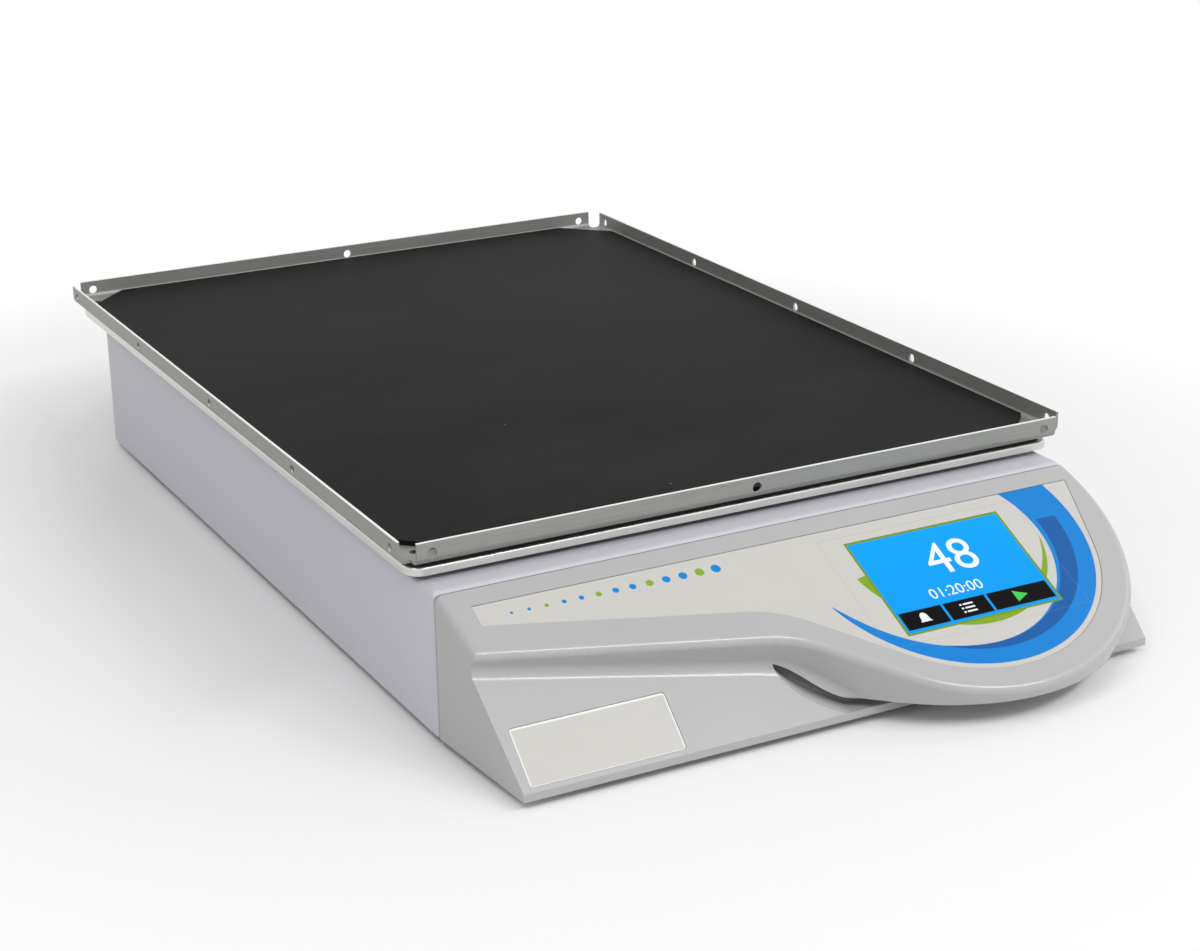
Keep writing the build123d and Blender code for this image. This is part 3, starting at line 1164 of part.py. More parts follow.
def fuse_drawer():
    outer_y = HOUSING_BACK + INLET_FLANGE_SHEET
    z = INLET_Z + FUSE_RISE
    length = FUSE_DEPTH - FACE_GAP
    body = block(INLET_X, outer_y - length / 2, z - FUSE_HEIGHT / 2, FUSE_WIDTH, length, FUSE_HEIGHT)
    for sx in (-1, 1):
        fuse_bay = block(INLET_X + sx * FUSE_WIDTH / 4, outer_y - length / 2, z - FUSE_HEIGHT / 2 + 2.0,
                         FUSE_WIDTH / 2 - 3.0, length - 3.0, FUSE_HEIGHT)
        body -= fuse_bay
    face = block(INLET_X, outer_y + FACE_GAP + FUSE_FACE / 2, z - FUSE_HEIGHT / 2 - FUSE_FACE_MARGIN,
                 FUSE_WIDTH + 2 * FUSE_FACE_MARGIN, FUSE_FACE, FUSE_HEIGHT + 2 * FUSE_FACE_MARGIN)
    face = fillet(face.faces().sort_by(Axis.Y)[-1].edges(), 0.6)
    neck = block(INLET_X, outer_y + FACE_GAP / 2, z - FUSE_HEIGHT / 2, FUSE_WIDTH, FACE_GAP, FUSE_HEIGHT)
    return body + neck + face


def switch_frame():
    outer = block(SWITCH_X, HOUSING_BACK + SWITCH_FLANGE_SHEET / 2, INLET_Z - SWITCH_FLANGE_HEIGHT / 2,
                  SWITCH_FLANGE_WIDTH, SWITCH_FLANGE_SHEET, SWITCH_FLANGE_HEIGHT)
    outer = fillet(outer.edges().filter_by(Axis.Y), 2.0)
    body = outer + block(SWITCH_X, HOUSING_BACK - SWITCH_BODY_DEPTH / 2, INLET_Z - SWITCH_BODY_HEIGHT / 2,
                         SWITCH_BODY_WIDTH, SWITCH_BODY_DEPTH, SWITCH_BODY_HEIGHT)
    pocket_width = ROCKER_WIDTH + 2 * ROCKER_GAP
    swing = math.hypot(ROCKER_LENGTH / 2, ROCKER_PIVOT_DEPTH + SWITCH_FLANGE_SHEET + 1.5)
    pocket_height = 2 * (swing + ROCKER_GAP)
    top = HOUSING_BACK + SWITCH_FLANGE_SHEET
    body -= block(SWITCH_X, top - SWITCH_POCKET_DEPTH / 2, INLET_Z - pocket_height / 2,
                  pocket_width, SWITCH_POCKET_DEPTH, pocket_height)
    pin = 2 * (TRUNNION_LENGTH + FACE_GAP) + ROCKER_WIDTH
    body -= rod_x(SWITCH_X - pin / 2, HOUSING_BACK - ROCKER_PIVOT_DEPTH, INLET_Z, TRUNNION_R + RUNNING_FIT, pin)
    return body


def switch_rocker():
    """Rocker with a shallow hollow face, on two trunnions, stored with its upper end pressed in."""
    half = ROCKER_LENGTH / 2
    face = SWITCH_FLANGE_SHEET + 1.0
    rise = half * math.tan(math.radians(ROCKER_TILT))
    profile = Polyline((-half, face + rise), (0, face), (half, face + rise), (half, -1.0), (6.0, -7.0),
                       (-6.0, -7.0), (-half, -1.0), (-half, face + rise))
    body = extrude(Plane.YZ * Rot(0, 0, -90) * make_face(profile), amount=ROCKER_WIDTH / 2, both=True)
    body = Pos(SWITCH_X, HOUSING_BACK, INLET_Z) * body
    length = ROCKER_WIDTH + 2 * TRUNNION_LENGTH
    body += rod_x(SWITCH_X - length / 2, HOUSING_BACK - ROCKER_PIVOT_DEPTH, INLET_Z, TRUNNION_R, length)
    pivot = Axis((SWITCH_X, HOUSING_BACK - ROCKER_PIVOT_DEPTH, INLET_Z), (1, 0, 0))
    return body.rotate(pivot, ROCKER_TILT)


NODES = {
    "base_pan": base_pan,
    "housing_cover": housing_cover,
    "feet": feet,
    "foot_screws": foot_screws,
    "cover_screws": cover_screws,
    "front_console": front_console,
    "control_overlay": control_overlay,
    "touch_screen": touch_screen,
    "screen_frame": screen_frame,
    "board_standoffs": board_standoffs,
    "control_board": control_board,
    "badge_plate": badge_plate,
    "console_screws": console_screws,
    "power_supply": power_supply,
    "motor": motor,
    "motor_bracket": motor_bracket,
    "motor_bracket_screws": motor_bracket_screws,
    "motor_shaft": motor_shaft,
    "motor_pulley": motor_pulley,
    "drive_belt": drive_belt,
    "drive_pulley": drive_pulley,
    "drive_crank": drive_crank,
    "counterweight": counterweight,
    "drive_bearing_housing": drive_bearing_housing,
    "drive_bearings": drive_bearings,
    "idler_bearing_housings": idler_bearing_housings,
    "idler_bearings": idler_bearings,
    "bearing_housing_screws": bearing_housing_screws,
    "drive_hub": drive_hub,
    "drive_hub_bearing": drive_hub_bearing,
    "idler_hubs": idler_hubs,
    "idler_hub_bearings": idler_hub_bearings,
    "hub_screws": hub_screws,
    "carrier_plate": carrier_plate,
    "spacer_pad": spacer_pad,
    "tray": tray,
    "tray_screws": tray_screws,
    "rubber_mat": rubber_mat,
    "power_inlet": power_inlet,
    "inlet_pins": inlet_pins,
    "inlet_screws": inlet_screws,
    "fuse_drawer": fuse_drawer,
    "switch_frame": switch_frame,
    "switch_rocker": switch_rocker,
}

for name, build in NODES.items():
    export_step(Pos(0, ORIGIN_SHIFT, 0) * build(), f"parts/{name}.step")
for name in IDLERS:
    export_step(Pos(0, ORIGIN_SHIFT, 0) * idler_crank(name), f"parts/{name}_idler_crank.step")
print("origin shift", round(ORIGIN_SHIFT, 3), "front", round(MACHINE_FRONT, 3), "top", round(TRAY_TOP, 3))
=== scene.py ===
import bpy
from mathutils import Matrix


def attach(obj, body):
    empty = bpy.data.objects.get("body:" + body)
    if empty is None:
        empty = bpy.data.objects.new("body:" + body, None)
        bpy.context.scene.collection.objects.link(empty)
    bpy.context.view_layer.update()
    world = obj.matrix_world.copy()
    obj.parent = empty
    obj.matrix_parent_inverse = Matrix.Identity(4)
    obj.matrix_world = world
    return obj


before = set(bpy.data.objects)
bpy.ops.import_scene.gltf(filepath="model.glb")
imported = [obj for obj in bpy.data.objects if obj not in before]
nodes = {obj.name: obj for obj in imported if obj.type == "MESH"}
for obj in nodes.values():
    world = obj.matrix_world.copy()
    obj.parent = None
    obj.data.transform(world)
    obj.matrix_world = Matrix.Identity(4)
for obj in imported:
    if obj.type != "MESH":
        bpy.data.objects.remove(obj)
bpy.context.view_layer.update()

import math

import bpy
import numpy as np
from mathutils import Matrix, Vector


# Base pan: zinc-plated sheet steel, folded up at its edges, pierced by a row of vent slots.
# Everything heavy is bolted to it, and four rubber feet are screwed on from below.

class Wire:
    """A shader socket in arithmetic: each operator adds one Math node and gives its output."""

    def __init__(self, tree, socket):
        self.tree = tree
        self.socket = socket

    def math(self, operation, *values):
        """Runs one Math operation on values or wires."""
        node = self.tree.nodes.new("ShaderNodeMath")
        node.operation = operation
        for slot, value in zip(node.inputs, values):
            if isinstance(value, Wire):
                self.tree.links.new(value.socket, slot)
            else:
                slot.default_value = value
        return Wire(self.tree, node.outputs[0])

    def __add__(self, other):
        return self.math("ADD", self, other)

    def __radd__(self, other):
        return self.math("ADD", other, self)

    def __sub__(self, other):
        return self.math("SUBTRACT", self, other)

    def __rsub__(self, other):
        return self.math("SUBTRACT", other, self)

    def __mul__(self, other):
        return self.math("MULTIPLY", self, other)

    def __rmul__(self, other):
        return self.math("MULTIPLY", other, self)

    def __truediv__(self, other):
        return self.math("DIVIDE", self, other)

    def __pow__(self, other):
        return self.math("POWER", self, other)

    def over(self, edge, soft=0.0002):
        """Mask: 0 below the edge, 1 above it, with a soft step."""
        node = self.tree.nodes.new("ShaderNodeMapRange")
        self.tree.links.new(self.socket, node.inputs["Value"])
        for name, value in (("From Min", edge - soft), ("From Max", edge + soft)):
            if isinstance(value, Wire):
                self.tree.links.new(value.socket, node.inputs[name])
            else:
                node.inputs[name].default_value = value
        return Wire(self.tree, node.outputs[0])

    def under(self, edge, soft=0.0002):
        """Mask: 1 below the edge, 0 above it."""
        return 1 - self.over(edge, soft)

    def inside(self, low, high, soft=0.0002):
        """Mask: 1 between two edges."""
        return self.over(low, soft) * self.under(high, soft)


class Finish:
    """One finish: a material whose shader takes plain numbers at once and wires where it varies."""

    def __init__(self, name, **plain):
        self.material = bpy.data.materials.new(name)
        self.material.use_nodes = True
        self.tree = self.material.node_tree
        self.shader = self.tree.nodes["Principled BSDF"]
        for key, value in plain.items():
            socket = self.shader.inputs[key.replace("_", " ")]
            socket.default_value = (*value, 1.0) if isinstance(value, tuple) and len(value) == 3 else value

    def node(self, kind, settings=None, out=0, **links):
        """Adds a node: its settings first, then its sockets' values or wires; gives one output. A socket is
        named with _ for a space, or numbered as i0, i1 and so on."""
        node = self.tree.nodes.new(kind)
        for key, value in (settings or {}).items():
            setattr(node, key, value)
        for key, value in links.items():
            numbered = key[0] == "i" and key[1:].isdigit()
            socket = node.inputs[int(key[1:]) if numbered else key.replace("_", " ")]
            if isinstance(value, Wire):
                self.tree.links.new(value.socket, socket)
            elif isinstance(value, tuple) and len(value) == 3 and len(socket.default_value) == 4:
                socket.default_value = (*value, 1.0)
            else:
                socket.default_value = value
        return Wire(self.tree, node.outputs[out])

    def place(self):
        """Object coordinates."""
        return self.node("ShaderNodeTexCoord", out="Object")

    def stretch(self, scale, turn=(0.0, 0.0, 0.0)):
        """Object coordinates turned and stretched, for streaks."""
        return self.node("ShaderNodeMapping", Vector=self.place(), Rotation=turn, Scale=scale)

    def parts(self, vector):
        """The three numbers of a vector."""
        node = self.tree.nodes.new("ShaderNodeSeparateXYZ")
        self.tree.links.new(vector.socket, node.inputs[0])
        return [Wire(self.tree, s) for s in node.outputs]

    def noise(self, vector, scale, detail=3.0, rough=0.5):
        """Noise from 0 to 1 at a scale per metre."""
        return self.node("ShaderNodeTexNoise", Vector=vector, Scale=scale, Detail=detail, Roughness=rough)

    def blend(self, mask, low, high):
        """Colour mixed from low to high by a mask."""
        return self.node("ShaderNodeMix", {"data_type": "RGBA"}, out=2, i0=mask, i6=low, i7=high)

    def give(self, socket, wire):
        """Feeds a wire to the shader."""
        self.tree.links.new(wire.socket, self.shader.inputs[socket])

    def bump(self, height, distance, strength=1.0):
        """Relief of the height wire, in metres."""
        bump = self.node("ShaderNodeBump", Height=height, Distance=distance, Strength=strength)
        self.give("Normal", bump)

    def on(self, *names):
        """Puts the finish on CAD nodes."""
        for name in names:
            for slot in nodes[name].material_slots:
                slot.material = self.material


def shade(colour, factor):
    """A colour made darker or lighter, no channel above 1."""
    return tuple(min(1.0, factor * c) for c in colour)


def zinc_sheet(name, colour):
    """Rolled sheet: soft clouds in colour and roughness, fine long scratches."""
    f = Finish(name, Metallic=1.0)
    clouds = f.noise(f.place(), 28.0, 4.0)
    f.give("Base Color", f.blend(clouds, shade(colour, 0.86), shade(colour, 1.1)))
    f.give("Roughness", clouds * 0.16 + 0.3)
    f.bump(f.noise(f.stretch((60.0, 900.0, 900.0)), 1.0, 2.0), 0.00003, 0.5)
    return f


zinc = zinc_sheet("zinc_sheet", (0.56, 0.57, 0.59))
zinc.on("base_pan", "screen_frame", "power_supply")

foot_rubber = Finish("foot_rubber", Base_Color=(0.018, 0.018, 0.02))
foot_rubber.give("Roughness", foot_rubber.noise(foot_rubber.place(), 260.0) * 0.2 + 0.55)
foot_rubber.bump(foot_rubber.noise(foot_rubber.place(), 2200.0, 2.0), 0.00004, 0.4)
foot_rubber.on("feet")


def screw_steel(name, colour, rough):
    """Turned screw: a fine grain in roughness and relief."""
    f = Finish(name, Base_Color=colour, Metallic=1.0)
    grain = f.noise(f.place(), 1400.0, 2.0)
    f.give("Roughness", grain * 0.15 + (rough - 0.07))
    f.bump(grain, 0.00002, 0.3)
    return f


plated_screw = screw_steel("plated_screw", (0.62, 0.62, 0.63), 0.3)
plated_screw.on("foot_screws", "cover_screws", "console_screws", "inlet_screws")
black_screw = screw_steel("black_screw", (0.05, 0.05, 0.055), 0.42)
black_screw.on("hub_screws", "bearing_housing_screws", "motor_bracket_screws", "tray_screws", "counterweight")


# Drive: a flat motor on a bracket turns the large pulley through a belt. The pulley sits on the
# drive crank, whose offset pin carries the platform round; a steel segment balances it. Castings
# are aluminium, cranks and shafts turned steel, and all of it is screwed to the base pan.

def machined(name, colour, rough, spread):
    """Machined metal: a fine grain over slow changes of sheen."""
    f = Finish(name, Metallic=1.0)
    slow = f.noise(f.place(), 45.0)
    fine = f.noise(f.place(), 1800.0, 2.0)
    f.give("Roughness", slow * spread + (rough - spread / 2))
    f.give("Base Color", f.blend(slow, shade(colour, 0.9), shade(colour, 1.06)))
    f.bump(fine, 0.00002, 0.35)
    return f


cast_aluminium = machined("cast_aluminium", (0.66, 0.66, 0.67), 0.42, 0.18)
cast_aluminium.on("motor", "motor_pulley", "drive_pulley", "drive_bearing_housing", "idler_bearing_housings",
                  "drive_hub", "idler_hubs")
turned_steel = machined("turned_steel", (0.56, 0.56, 0.57), 0.28, 0.12)
turned_steel.on("motor_bracket", "drive_crank", "motor_shaft", "board_standoffs", "front_left_idler_crank",
                "front_right_idler_crank", "back_left_idler_crank", "back_right_idler_crank")
bearing_steel = machined("bearing_steel", (0.72, 0.72, 0.73), 0.16, 0.08)
bearing_steel.on("drive_bearings", "idler_bearings", "drive_hub_bearing", "idler_hub_bearings")

belt_rubber = Finish("belt_rubber", Base_Color=(0.022, 0.022, 0.023), Roughness=0.7)
belt_rubber.bump(belt_rubber.noise(belt_rubber.place(), 1500.0, 3.0), 0.00005, 0.5)
belt_rubber.on("drive_belt")

BOARD_GREEN = (0.012, 0.13, 0.045)
TRACK_GREEN = (0.02, 0.2, 0.07)
board_mask = Finish("board_mask", Roughness=0.35)
tracks = board_mask.noise(board_mask.stretch((400.0, 60.0, 60.0)), 1.0, 2.0).over(0.56, 0.02)
board_mask.give("Base Color", board_mask.blend(tracks, BOARD_GREEN, TRACK_GREEN))
board_mask.on("control_board")


# Housing cover: one piece of sheet steel folded over the top and sides, powder-coated in a light
# lilac grey. It drops over the pan and is screwed to it at the back.

powder = Finish("powder_coat")
haze = powder.noise(powder.place(), 9.0, 3.0)
peel = powder.noise(powder.place(), 900.0, 3.0, 0.6)
powder.give("Base Color", powder.blend(haze, (0.565, 0.55, 0.605), (0.6, 0.585, 0.64)))
powder.give("Roughness", peel * 0.14 + 0.36)
powder.bump(peel, 0.00005, 0.5)
powder.on("housing_cover")


# Back fittings: a black moulded power inlet, held by two screws, with its fuse drawer and three
# plated contacts, and a moulded rocker switch that snaps into the wall.

moulded_black = Finish("moulded_black", Base_Color=(0.016, 0.016, 0.018))
spark = moulded_black.noise(moulded_black.place(), 2600.0, 3.0, 0.7)
moulded_black.give("Roughness", spark * 0.2 + 0.33)
moulded_black.bump(spark, 0.00004, 0.5)
moulded_black.on("power_inlet", "fuse_drawer", "switch_frame", "switch_rocker")

contact_nickel = machined("contact_nickel", (0.7, 0.66, 0.58), 0.2, 0.08)
contact_nickel.on("inlet_pins")


# Front console: one moulded shell, finely grained and finished in a satin mid grey. It is screwed to
# the housing's front, and its deck runs out into a round lobe over a shadowed recess. A dark joint
# shows where it meets the housing.

TRAY_MIDDLE_TO_SEAM = 0.3176
JOINT_WIDTH = 0.0016
tray_corners = np.array(nodes["tray"].bound_box)
TRAY_MIDDLE_Y = float(tray_corners[:, 1].min() + tray_corners[:, 1].max()) / 2
SEAM_Y = TRAY_MIDDLE_Y - TRAY_MIDDLE_TO_SEAM

console_grey = Finish("console_grey", Coat_Weight=0.4, Coat_Roughness=0.09)
cloud = console_grey.noise(console_grey.place(), 12.0, 3.0)
grit = console_grey.noise(console_grey.place(), 2400.0, 3.0, 0.7)
skin = console_grey.blend(cloud, (0.4, 0.4, 0.405), (0.43, 0.43, 0.435))
joint = console_grey.parts(console_grey.place())[1].over(SEAM_Y - JOINT_WIDTH)
console_grey.give("Base Color", console_grey.blend(joint, skin, (0.1, 0.1, 0.1)))
console_grey.give("Roughness", grit * 0.14 + 0.27)
console_grey.bump(grit, 0.00004, 0.45)
console_grey.on("front_console")


# Deck film: a beige printed polyester label, glued into a shallow pocket of the deck. Its print has
# trails in blue and green that run round the lobe's centre, a row of dots that grow towards the
# display, and a faint line round the display. Places on it are x across and s down the slope.

DECK_TOP = 0.0896
DECK_SIN = 0.43365
DECK_COS = math.sqrt(1 - DECK_SIN ** 2)
LOBE_CENTRE = (0.0935, 0.0385)
SCREEN_CENTRE = (0.0893, 0.063)


def deck_coordinates(finish):
    """x across the deck and s = (seam - y) / cos down its slope, from object coordinates."""
    x, y = finish.parts(finish.place())[:2]
    return x, (SEAM_Y - y) / DECK_COS


film = Finish("deck_film", Specular_IOR_Level=0.2)
x, s = deck_coordinates(film)
dx = x - LOBE_CENTRE[0]
ds = s - LOBE_CENTRE[1]
ring = (dx * dx + ds * ds) ** 0.5
turn = ds.math("ARCTAN2", ds, dx) * (1 / math.pi)
paper = film.noise(film.place(), 40.0, 3.0)
ink = film.blend(paper, (0.55, 0.538, 0.51), (0.58, 0.568, 0.538))


def trail(start, end, width, outer):
    """Mask of a ring segment between two angles in half turns that thins out on its way: its inner
    radius is outer - width * (1 - way gone) ** 0.7."""
    along = (turn - start) / (end - start)
    fade = along.math("MAXIMUM", 1 - along, 0.0) ** 0.7
    ends = turn.inside(min(start, end), max(start, end), 0.001)
    return ring.over(outer - width * fade) * ring.under(outer) * ends


TRAIL_BLUE = (0.0, 0.2, 0.6)
TRAIL_GREEN = (0.2, 0.35, 0.012)
TRAIL_DEEP_BLUE = (0.0, 0.09, 0.33)
for colour, mask in (
    (TRAIL_BLUE, trail(start=-0.13, end=0.9, width=0.031, outer=0.0945)),
    (TRAIL_GREEN, trail(start=0.93, end=0.06, width=0.0135, outer=0.0655)),
    (TRAIL_DEEP_BLUE, trail(start=0.0, end=0.66, width=0.0135, outer=0.0835)),
):
    ink = film.blend(mask, ink, colour)

DOT_START_X = -0.178
DOT_ROW_S = 0.0235
DOT_PITCH = 0.0105
DOT_COUNT = 13
FIRST_DOT_R = 0.0009
DOT_GROWTH = 0.00017
DOT_BLUE = (0.0, 0.225, 0.62)
DOT_GREEN = (0.215, 0.37, 0.02)
dot = x.math("FLOOR", (x - DOT_START_X) / DOT_PITCH)
away_x = x - DOT_START_X - (dot + 0.5) * DOT_PITCH
away_s = s - DOT_ROW_S
away = (away_x * away_x + away_s * away_s) ** 0.5
dots = away.under(dot * DOT_GROWTH + FIRST_DOT_R) * dot.inside(-0.5, DOT_COUNT - 0.5, 0.1)
every_third = dot.math("MODULO", dot, 3.0).over(1.5, 0.1)
ink = film.blend(dots, ink, film.blend(every_third, DOT_BLUE, DOT_GREEN))

LINE_HALF_WIDTH = 0.0685
LINE_HALF_HEIGHT = 0.0425
LINE_THICKNESS = 0.0003
from_middle_x = x.math("ABSOLUTE", x - SCREEN_CENTRE[0])
from_middle_s = s.math("ABSOLUTE", s - SCREEN_CENTRE[1])


def rectangle(margin):
    """Mask of the rectangle round the display, smaller by a margin on each side."""
    return from_middle_x.under(LINE_HALF_WIDTH - margin) * from_middle_s.under(LINE_HALF_HEIGHT - margin)


ink = film.blend((rectangle(0.0) - rectangle(LINE_THICKNESS)) * 0.35, ink, (0.25, 0.25, 0.25))
film_grain = film.noise(film.place(), 1900.0, 2.0)
film.give("Base Color", ink)
film.give("Roughness", film_grain * 0.12 + 0.3)
film.bump(film_grain, 0.00002, 0.3)
film.on("control_overlay")


# Touch screen: a lit display behind a clear cover, held by a frame inside the console. It shows a thin
# green border, large figures for the speed, small ones for the time, and three black keys with plain
# symbols along its lower edge.

SCREEN_WIDTH = 0.1065
SCREEN_HEIGHT = 0.0735
HALF_WIDTH = SCREEN_WIDTH / 2
HALF_HEIGHT = SCREEN_HEIGHT / 2
BORDER = 0.0014
KEY_TOP = HALF_HEIGHT - 0.0165
KEY_LOW = HALF_HEIGHT - 0.0035
KEY_SPANS = ((-0.0505, -0.0222), (-0.0206, 0.0076), (0.0092, 0.0505))
SCREEN_TOP_BLUE = (0.0, 0.4, 1.0)
SCREEN_LOW_BLUE = (0.0, 0.35, 0.93)

display = Finish("display", Base_Color=(0.0, 0.0, 0.0), Roughness=0.16, Specular_IOR_Level=0.08,
                 Emission_Strength=1.0)
x, s = deck_coordinates(display)
across = x - SCREEN_CENTRE[0]
down = s - SCREEN_CENTRE[1]
glow = display.blend((down + HALF_HEIGHT) / SCREEN_HEIGHT, SCREEN_TOP_BLUE, SCREEN_LOW_BLUE)
keys = sum(across.inside(left, right) for left, right in KEY_SPANS)
glow = display.blend(down.inside(KEY_TOP, KEY_LOW) * keys, glow, (0.0, 0.0, 0.0))
in_border_x = across.inside(BORDER - HALF_WIDTH, HALF_WIDTH - BORDER)
in_border_s = down.inside(BORDER - HALF_HEIGHT, HALF_HEIGHT - BORDER)
display.give("Emission Color", display.blend(in_border_x * in_border_s, (0.19, 0.33, 0.02), glow))
display.on("touch_screen")


def lit(name, colour):
    """Lit figure: its glow is slightly uneven across the display."""
    f = Finish(name, Base_Color=(0.0, 0.0, 0.0), Roughness=0.3, Emission_Strength=1.0)
    f.give("Emission Color", f.blend(f.noise(f.place(), 30.0), shade(colour, 0.93), colour))
    return f


lit_white = lit("lit_white", (0.9, 0.95, 1.0))
lit_green = lit("lit_green", (0.02, 0.6, 0.06))

GLASS_SINK = 0.0003
FIGURE_LIFT = 0.00004


def on_screen(name, flat, faces, finish):
    """Lays a flat shape, (right, up) from the screen's centre in metres, on the sloping glass: down the slope
    s = centre - up, then y = seam - s cos and z = top - s sin, a hair above the glass."""
    flat = np.asarray(flat, float)
    s = SCREEN_CENTRE[1] - flat[:, 1]
    lift = FIGURE_LIFT - GLASS_SINK
    points = np.column_stack((SCREEN_CENTRE[0] + flat[:, 0], SEAM_Y - s * DECK_COS - lift * DECK_SIN,
                              DECK_TOP - s * DECK_SIN + lift * DECK_COS))
    mesh = bpy.data.meshes.new(name)
    mesh.from_pydata(points.tolist(), [], faces)
    mesh.materials.append(finish.material)
    piece = bpy.data.objects.new(name, mesh)
    bpy.context.scene.collection.objects.link(piece)
    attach(piece, "base")


def figures(name, text, size, right, up):
    """Digits as flat faces, centred on a point of the screen."""
    line = bpy.data.curves.new(name + "_line", "FONT")
    line.body = text
    line.size = size
    line.align_x = "CENTER"
    line.align_y = "CENTER"
    holder = bpy.data.objects.new(name + "_line", line)
    bpy.context.scene.collection.objects.link(holder)
    flat = bpy.data.meshes.new_from_object(holder.evaluated_get(bpy.context.evaluated_depsgraph_get()))
    corners = np.empty(len(flat.vertices) * 3)
    flat.vertices.foreach_get("co", corners)
    faces = [tuple(p.vertices) for p in flat.polygons]
    bpy.data.objects.remove(holder)
    bpy.data.meshes.remove(flat)
    on_screen(name, corners.reshape(-1, 3)[:, :2] + (right, up), faces, lit_white)


figures("speed_figures", "48", size=0.034, right=0.005, up=0.0105)
figures("time_figures", "01:20:00", size=0.0105, right=-0.006, up=-0.0125)

KEY_UP = -(KEY_TOP + KEY_LOW) / 2
bell_x, rows_x, start_x = ((left + right) / 2 for left, right in KEY_SPANS)

BELL_R = 0.0026
BELL_RISE = 0.0034
BELL_SHOULDER = 0.0004
BELL_RIM = ((-0.0031, -0.0022), (-0.0042, -0.0029), (0.0042, -0.0029), (0.0031, -0.0022))
sweep = np.linspace(0, math.pi, 13)
dome = np.column_stack((BELL_R * np.cos(sweep), BELL_SHOULDER + BELL_RISE * np.sin(sweep)))
bell = np.vstack((dome, BELL_RIM)) + (bell_x, KEY_UP)
on_screen("key_bell", bell, [tuple(range(len(bell)))], lit_white)

ROW_HEIGHT = 0.0012
ROW_LOWS = (-0.0034, -0.0006, 0.0022)
ROW_SPANS = ((-0.0045, -0.0031), (-0.0021, 0.0045))
corners = [(rows_x + x, KEY_UP + y) for low in ROW_LOWS for left, right in ROW_SPANS
           for x, y in ((left, low), (right, low), (right, low + ROW_HEIGHT), (left, low + ROW_HEIGHT))]
on_screen("key_rows", corners, [tuple(range(i, i + 4)) for i in range(0, len(corners), 4)], lit_white)

START_SIGN = np.array(((-0.004, -0.0042), (0.0048, 0.0), (-0.004, 0.0042)))
on_screen("key_start", START_SIGN + (start_x, KEY_UP), [(0, 1, 2)], lit_green)


# Plate: a bare brushed aluminium plate, glued into a shallow recess of the console's lower face. Its rim
# is painted near white, a painted highlight for the light caught by a bevelled edge that is not modelled.

RIM_WIDTH = 0.0008
plate_corners = np.array(nodes["badge_plate"].bound_box)
left, low = plate_corners.min(axis=0)[[0, 2]] + RIM_WIDTH
right, high = plate_corners.max(axis=0)[[0, 2]] - RIM_WIDTH

plate = Finish("bare_plate")
grain = plate.noise(plate.stretch((40.0, 1200.0, 1200.0)), 1.0, 2.0)
x, z = plate.parts(plate.place())[::2]
brushed = plate.blend(grain, (0.51, 0.5, 0.475), (0.55, 0.54, 0.512))
# Painted highlight: a band RIM_WIDTH wide round the plate's edge is painted near white.
plate.give("Base Color", plate.blend(x.inside(left, right) * z.inside(low, high), (0.8, 0.8, 0.78), brushed))
plate.give("Roughness", grain * 0.1 + 0.33)
plate.bump(grain, 0.00002, 0.25)
plate.on("badge_plate")


# Carrier: folded aluminium plate, screwed to the hubs that ride on the crank pins. A black foam pad lies
# between it and the tray.

carrier = machined("carrier_aluminium", (0.66, 0.66, 0.64), 0.34, 0.12)
carrier.on("carrier_plate")

pad_foam = Finish("pad_foam", Base_Color=(0.014, 0.014, 0.015), Roughness=0.85)
pad_foam.bump(pad_foam.noise(pad_foam.place(), 1100.0, 4.0, 0.7), 0.0002, 0.6)
pad_foam.on("spacer_pad")


# Tray: brushed stainless sheet with four upturned flanges, each pierced by a row of round holes, with a
# painted highlight along their top edges. Screws near the corners hold its floor to the carrier. The end
# flanges are brushed along x, and the rest along y.

FLANGE_INSIDE = 0.3035
TOP_EDGE = 0.00025
steel = Finish("brushed_stainless")
x_line = steel.noise(steel.stretch((14.0, 2600.0, 2600.0)), 1.0, 2.0)
y_line = steel.noise(steel.stretch((2600.0, 14.0, 2600.0)), 1.0, 2.0)
y, z = steel.parts(steel.place())[1:]
from_middle = y - TRAY_MIDDLE_Y
ends = (from_middle * from_middle).over(FLANGE_INSIDE ** 2, 0.0001)
brush = x_line * ends + y_line * (1 - ends)
wide = steel.noise(steel.place(), 7.0, 2.0)
# Painted highlight: a near-white, less metallic band along the flanges' top edges stands in for the light the
# edges catch.
edge_highlight = z.over(float(tray_corners[:, 2].max()) - TOP_EDGE, 0.0001)
tone = steel.blend(brush, (0.24, 0.245, 0.228), (0.37, 0.375, 0.352))
steel.give("Base Color", steel.blend(edge_highlight, tone, (0.9, 0.9, 0.87)))
steel.give("Metallic", 0.5 - edge_highlight * 0.3)
steel.give("Roughness", brush * 0.18 + wide * 0.12 + 0.32)
steel.bump(brush, 0.00003, 0.5)
steel.on("tray")


# Mat: black rubber sheet with cut corners that lies loose in the tray and keeps vessels from sliding. Its
# skin is finely grained, with a few specks of dust, and has lighter streaks of painted sheen in its colour.

mat = Finish("mat_rubber", Specular_IOR_Level=0.025)
sheen_streaks = mat.noise(mat.stretch((4.5, 8.0, 8.0), (0.0, 0.0, 0.5)), 1.0, 6.0, 0.65)
skin = mat.noise(mat.place(), 1700.0, 3.0, 0.6)
DUST_CELLS = 55.0
speck = mat.node("ShaderNodeTexVoronoi", out="Distance", Vector=mat.place(), Scale=DUST_CELLS)
cell_colour = mat.node("ShaderNodeTexVoronoi", out="Color", Vector=mat.place(), Scale=DUST_CELLS)
dust = speck.under(0.035, 0.012) * mat.parts(cell_colour)[0].over(0.94, 0.005)
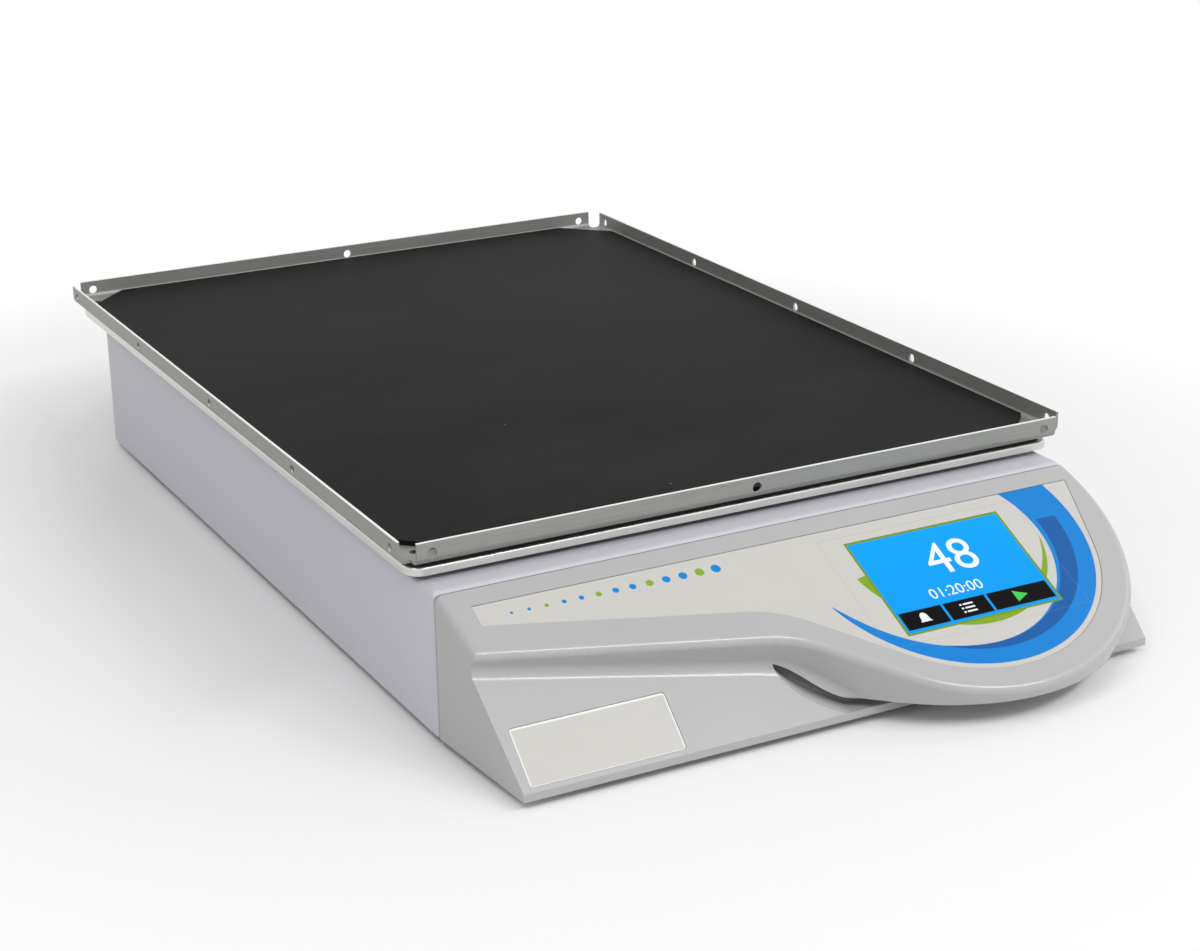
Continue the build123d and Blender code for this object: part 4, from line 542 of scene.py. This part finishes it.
# Painted sheen: lighter streaks in the mat's colour stand in for glossy highlights, and the same streaks also
# make it rougher.
tone = mat.blend(sheen_streaks.over(0.55, 0.17), (0.0045, 0.0052, 0.0048), (0.019, 0.021, 0.0195))
mat.give("Base Color", mat.blend(dust, tone, (0.16, 0.16, 0.15)))
mat.give("Roughness", sheen_streaks * 0.26 + skin * 0.1 + 0.3)
mat.bump(skin, 0.00005, 0.5)
mat.on("rubber_mat")


# Room: a pale floor that turns white away from the machine, a white surround that the camera and
# reflections see at full strength, soft lamps, and the camera where the photograph was taken from.

FLOOR_HALF = 8.0
WHITE_FROM = 0.46
WHITE_SOFT = 0.16
SURROUND_STRENGTH = 0.45


def background_rays(tree):
    """1 for the rays that see the white background: camera, glossy and transmission rays."""
    path = tree.nodes.new("ShaderNodeLightPath")
    camera_ray, glossy_ray, clear_ray = (
        Wire(tree, path.outputs[f"Is {kind} Ray"]) for kind in ("Camera", "Glossy", "Transmission"))
    return clear_ray.math("MINIMUM", camera_ray + glossy_ray + clear_ray, 1.0)


def show_white(tree, output, mask, plain, white):
    """Joins two shaders at an output: plain where the mask is 0, white where it is 1."""
    mixed = tree.nodes.new("ShaderNodeMixShader")
    for source, slot in zip((mask.socket, plain, white), mixed.inputs):
        tree.links.new(source, slot)
    tree.links.new(mixed.outputs[0], tree.nodes[output].inputs["Surface"])


floor_mesh = bpy.data.meshes.new("floor")
floor_corners = [(FLOOR_HALF * i, FLOOR_HALF * j, 0) for i, j in ((-1, -1), (1, -1), (1, 1), (-1, 1))]
floor_mesh.from_pydata(floor_corners, [], [(0, 1, 2, 3)])
floor = bpy.data.objects.new("floor", floor_mesh)
bpy.context.scene.collection.objects.link(floor)
pale = Finish("pale_floor", Base_Color=(0.9, 0.9, 0.9), Roughness=0.9, Specular_IOR_Level=0.1)
floor_mesh.materials.append(pale.material)
x, y = pale.parts(pale.place())[:2]
far = ((x * x + y * y * 0.6) ** 0.5).over(WHITE_FROM, WHITE_SOFT)
white = pale.node("ShaderNodeEmission", Color=(1.0, 1.0, 1.0), Strength=1.0)
show_white(pale.tree, "Material Output", far * background_rays(pale.tree), pale.shader.outputs[0], white.socket)

world = bpy.data.worlds.new("surround")
world.use_nodes = True
bpy.context.scene.world = world
tree = world.node_tree
soft = tree.nodes["Background"]
soft.inputs["Color"].default_value = (1.0, 1.0, 1.0, 1.0)
soft.inputs["Strength"].default_value = SURROUND_STRENGTH
bright = tree.nodes.new("ShaderNodeBackground")
bright.inputs["Color"].default_value = (1.0, 1.0, 1.0, 1.0)
bright.inputs["Strength"].default_value = 1.0
show_white(tree, "World Output", background_rays(tree), soft.outputs[0], bright.outputs[0])


def softbox(name, place, target, size, watts):
    """A rectangular lamp, (width, height), that faces its target."""
    lamp = bpy.data.lights.new(name, "AREA")
    lamp.shape = "RECTANGLE"
    lamp.size, lamp.size_y = size
    lamp.energy = watts
    holder = bpy.data.objects.new(name, lamp)
    holder.location = place
    holder.rotation_euler = (Vector(target) - Vector(place)).to_track_quat("-Z", "Y").to_euler()
    bpy.context.scene.collection.objects.link(holder)


MACHINE_MIDDLE = (0.0, 0.0, 0.05)
CONSOLE_LIP = (0.05, -0.33, 0.06)
softbox("key_lamp", (-1.3, -1.3, 2.5), MACHINE_MIDDLE, size=(1.6, 1.6), watts=27.0)
softbox("fill_lamp", (2.2, -0.4, 1.6), MACHINE_MIDDLE, size=(1.4, 1.4), watts=7.0)
softbox("strip_lamp", (0.75, -1.75, 1.75), CONSOLE_LIP, size=(1.7, 0.32), watts=24.0)

CAMERA_PLACE = Vector((-0.6875, TRAY_MIDDLE_Y - 1.4237, 0.5887))
YAW, PITCH, ROLL = (math.radians(a) for a in (27.68, 19.83, -0.84))
PHOTO_WIDTH = 1200.0
FOCAL_LENGTH = 2446.2
SENSOR_WIDTH = 36.0
forward = Vector((math.sin(YAW) * math.cos(PITCH), math.cos(YAW) * math.cos(PITCH), -math.sin(PITCH)))
level = Vector((math.cos(YAW), -math.sin(YAW), 0.0))
upward = level.cross(forward)
right = level * math.cos(ROLL) + upward * math.sin(ROLL)
up = upward * math.cos(ROLL) - level * math.sin(ROLL)
lens = bpy.data.cameras.new("camera")
lens.sensor_fit = "HORIZONTAL"
lens.sensor_width = SENSOR_WIDTH
lens.lens = SENSOR_WIDTH * FOCAL_LENGTH / PHOTO_WIDTH
camera = bpy.data.objects.new("camera", lens)
camera.matrix_world = Matrix.Translation(CAMERA_PLACE) @ Matrix((right, up, -forward)).transposed().to_4x4()
bpy.context.scene.collection.objects.link(camera)
bpy.context.scene.camera = camera
bpy.context.scene.view_settings.view_transform = "Standard"
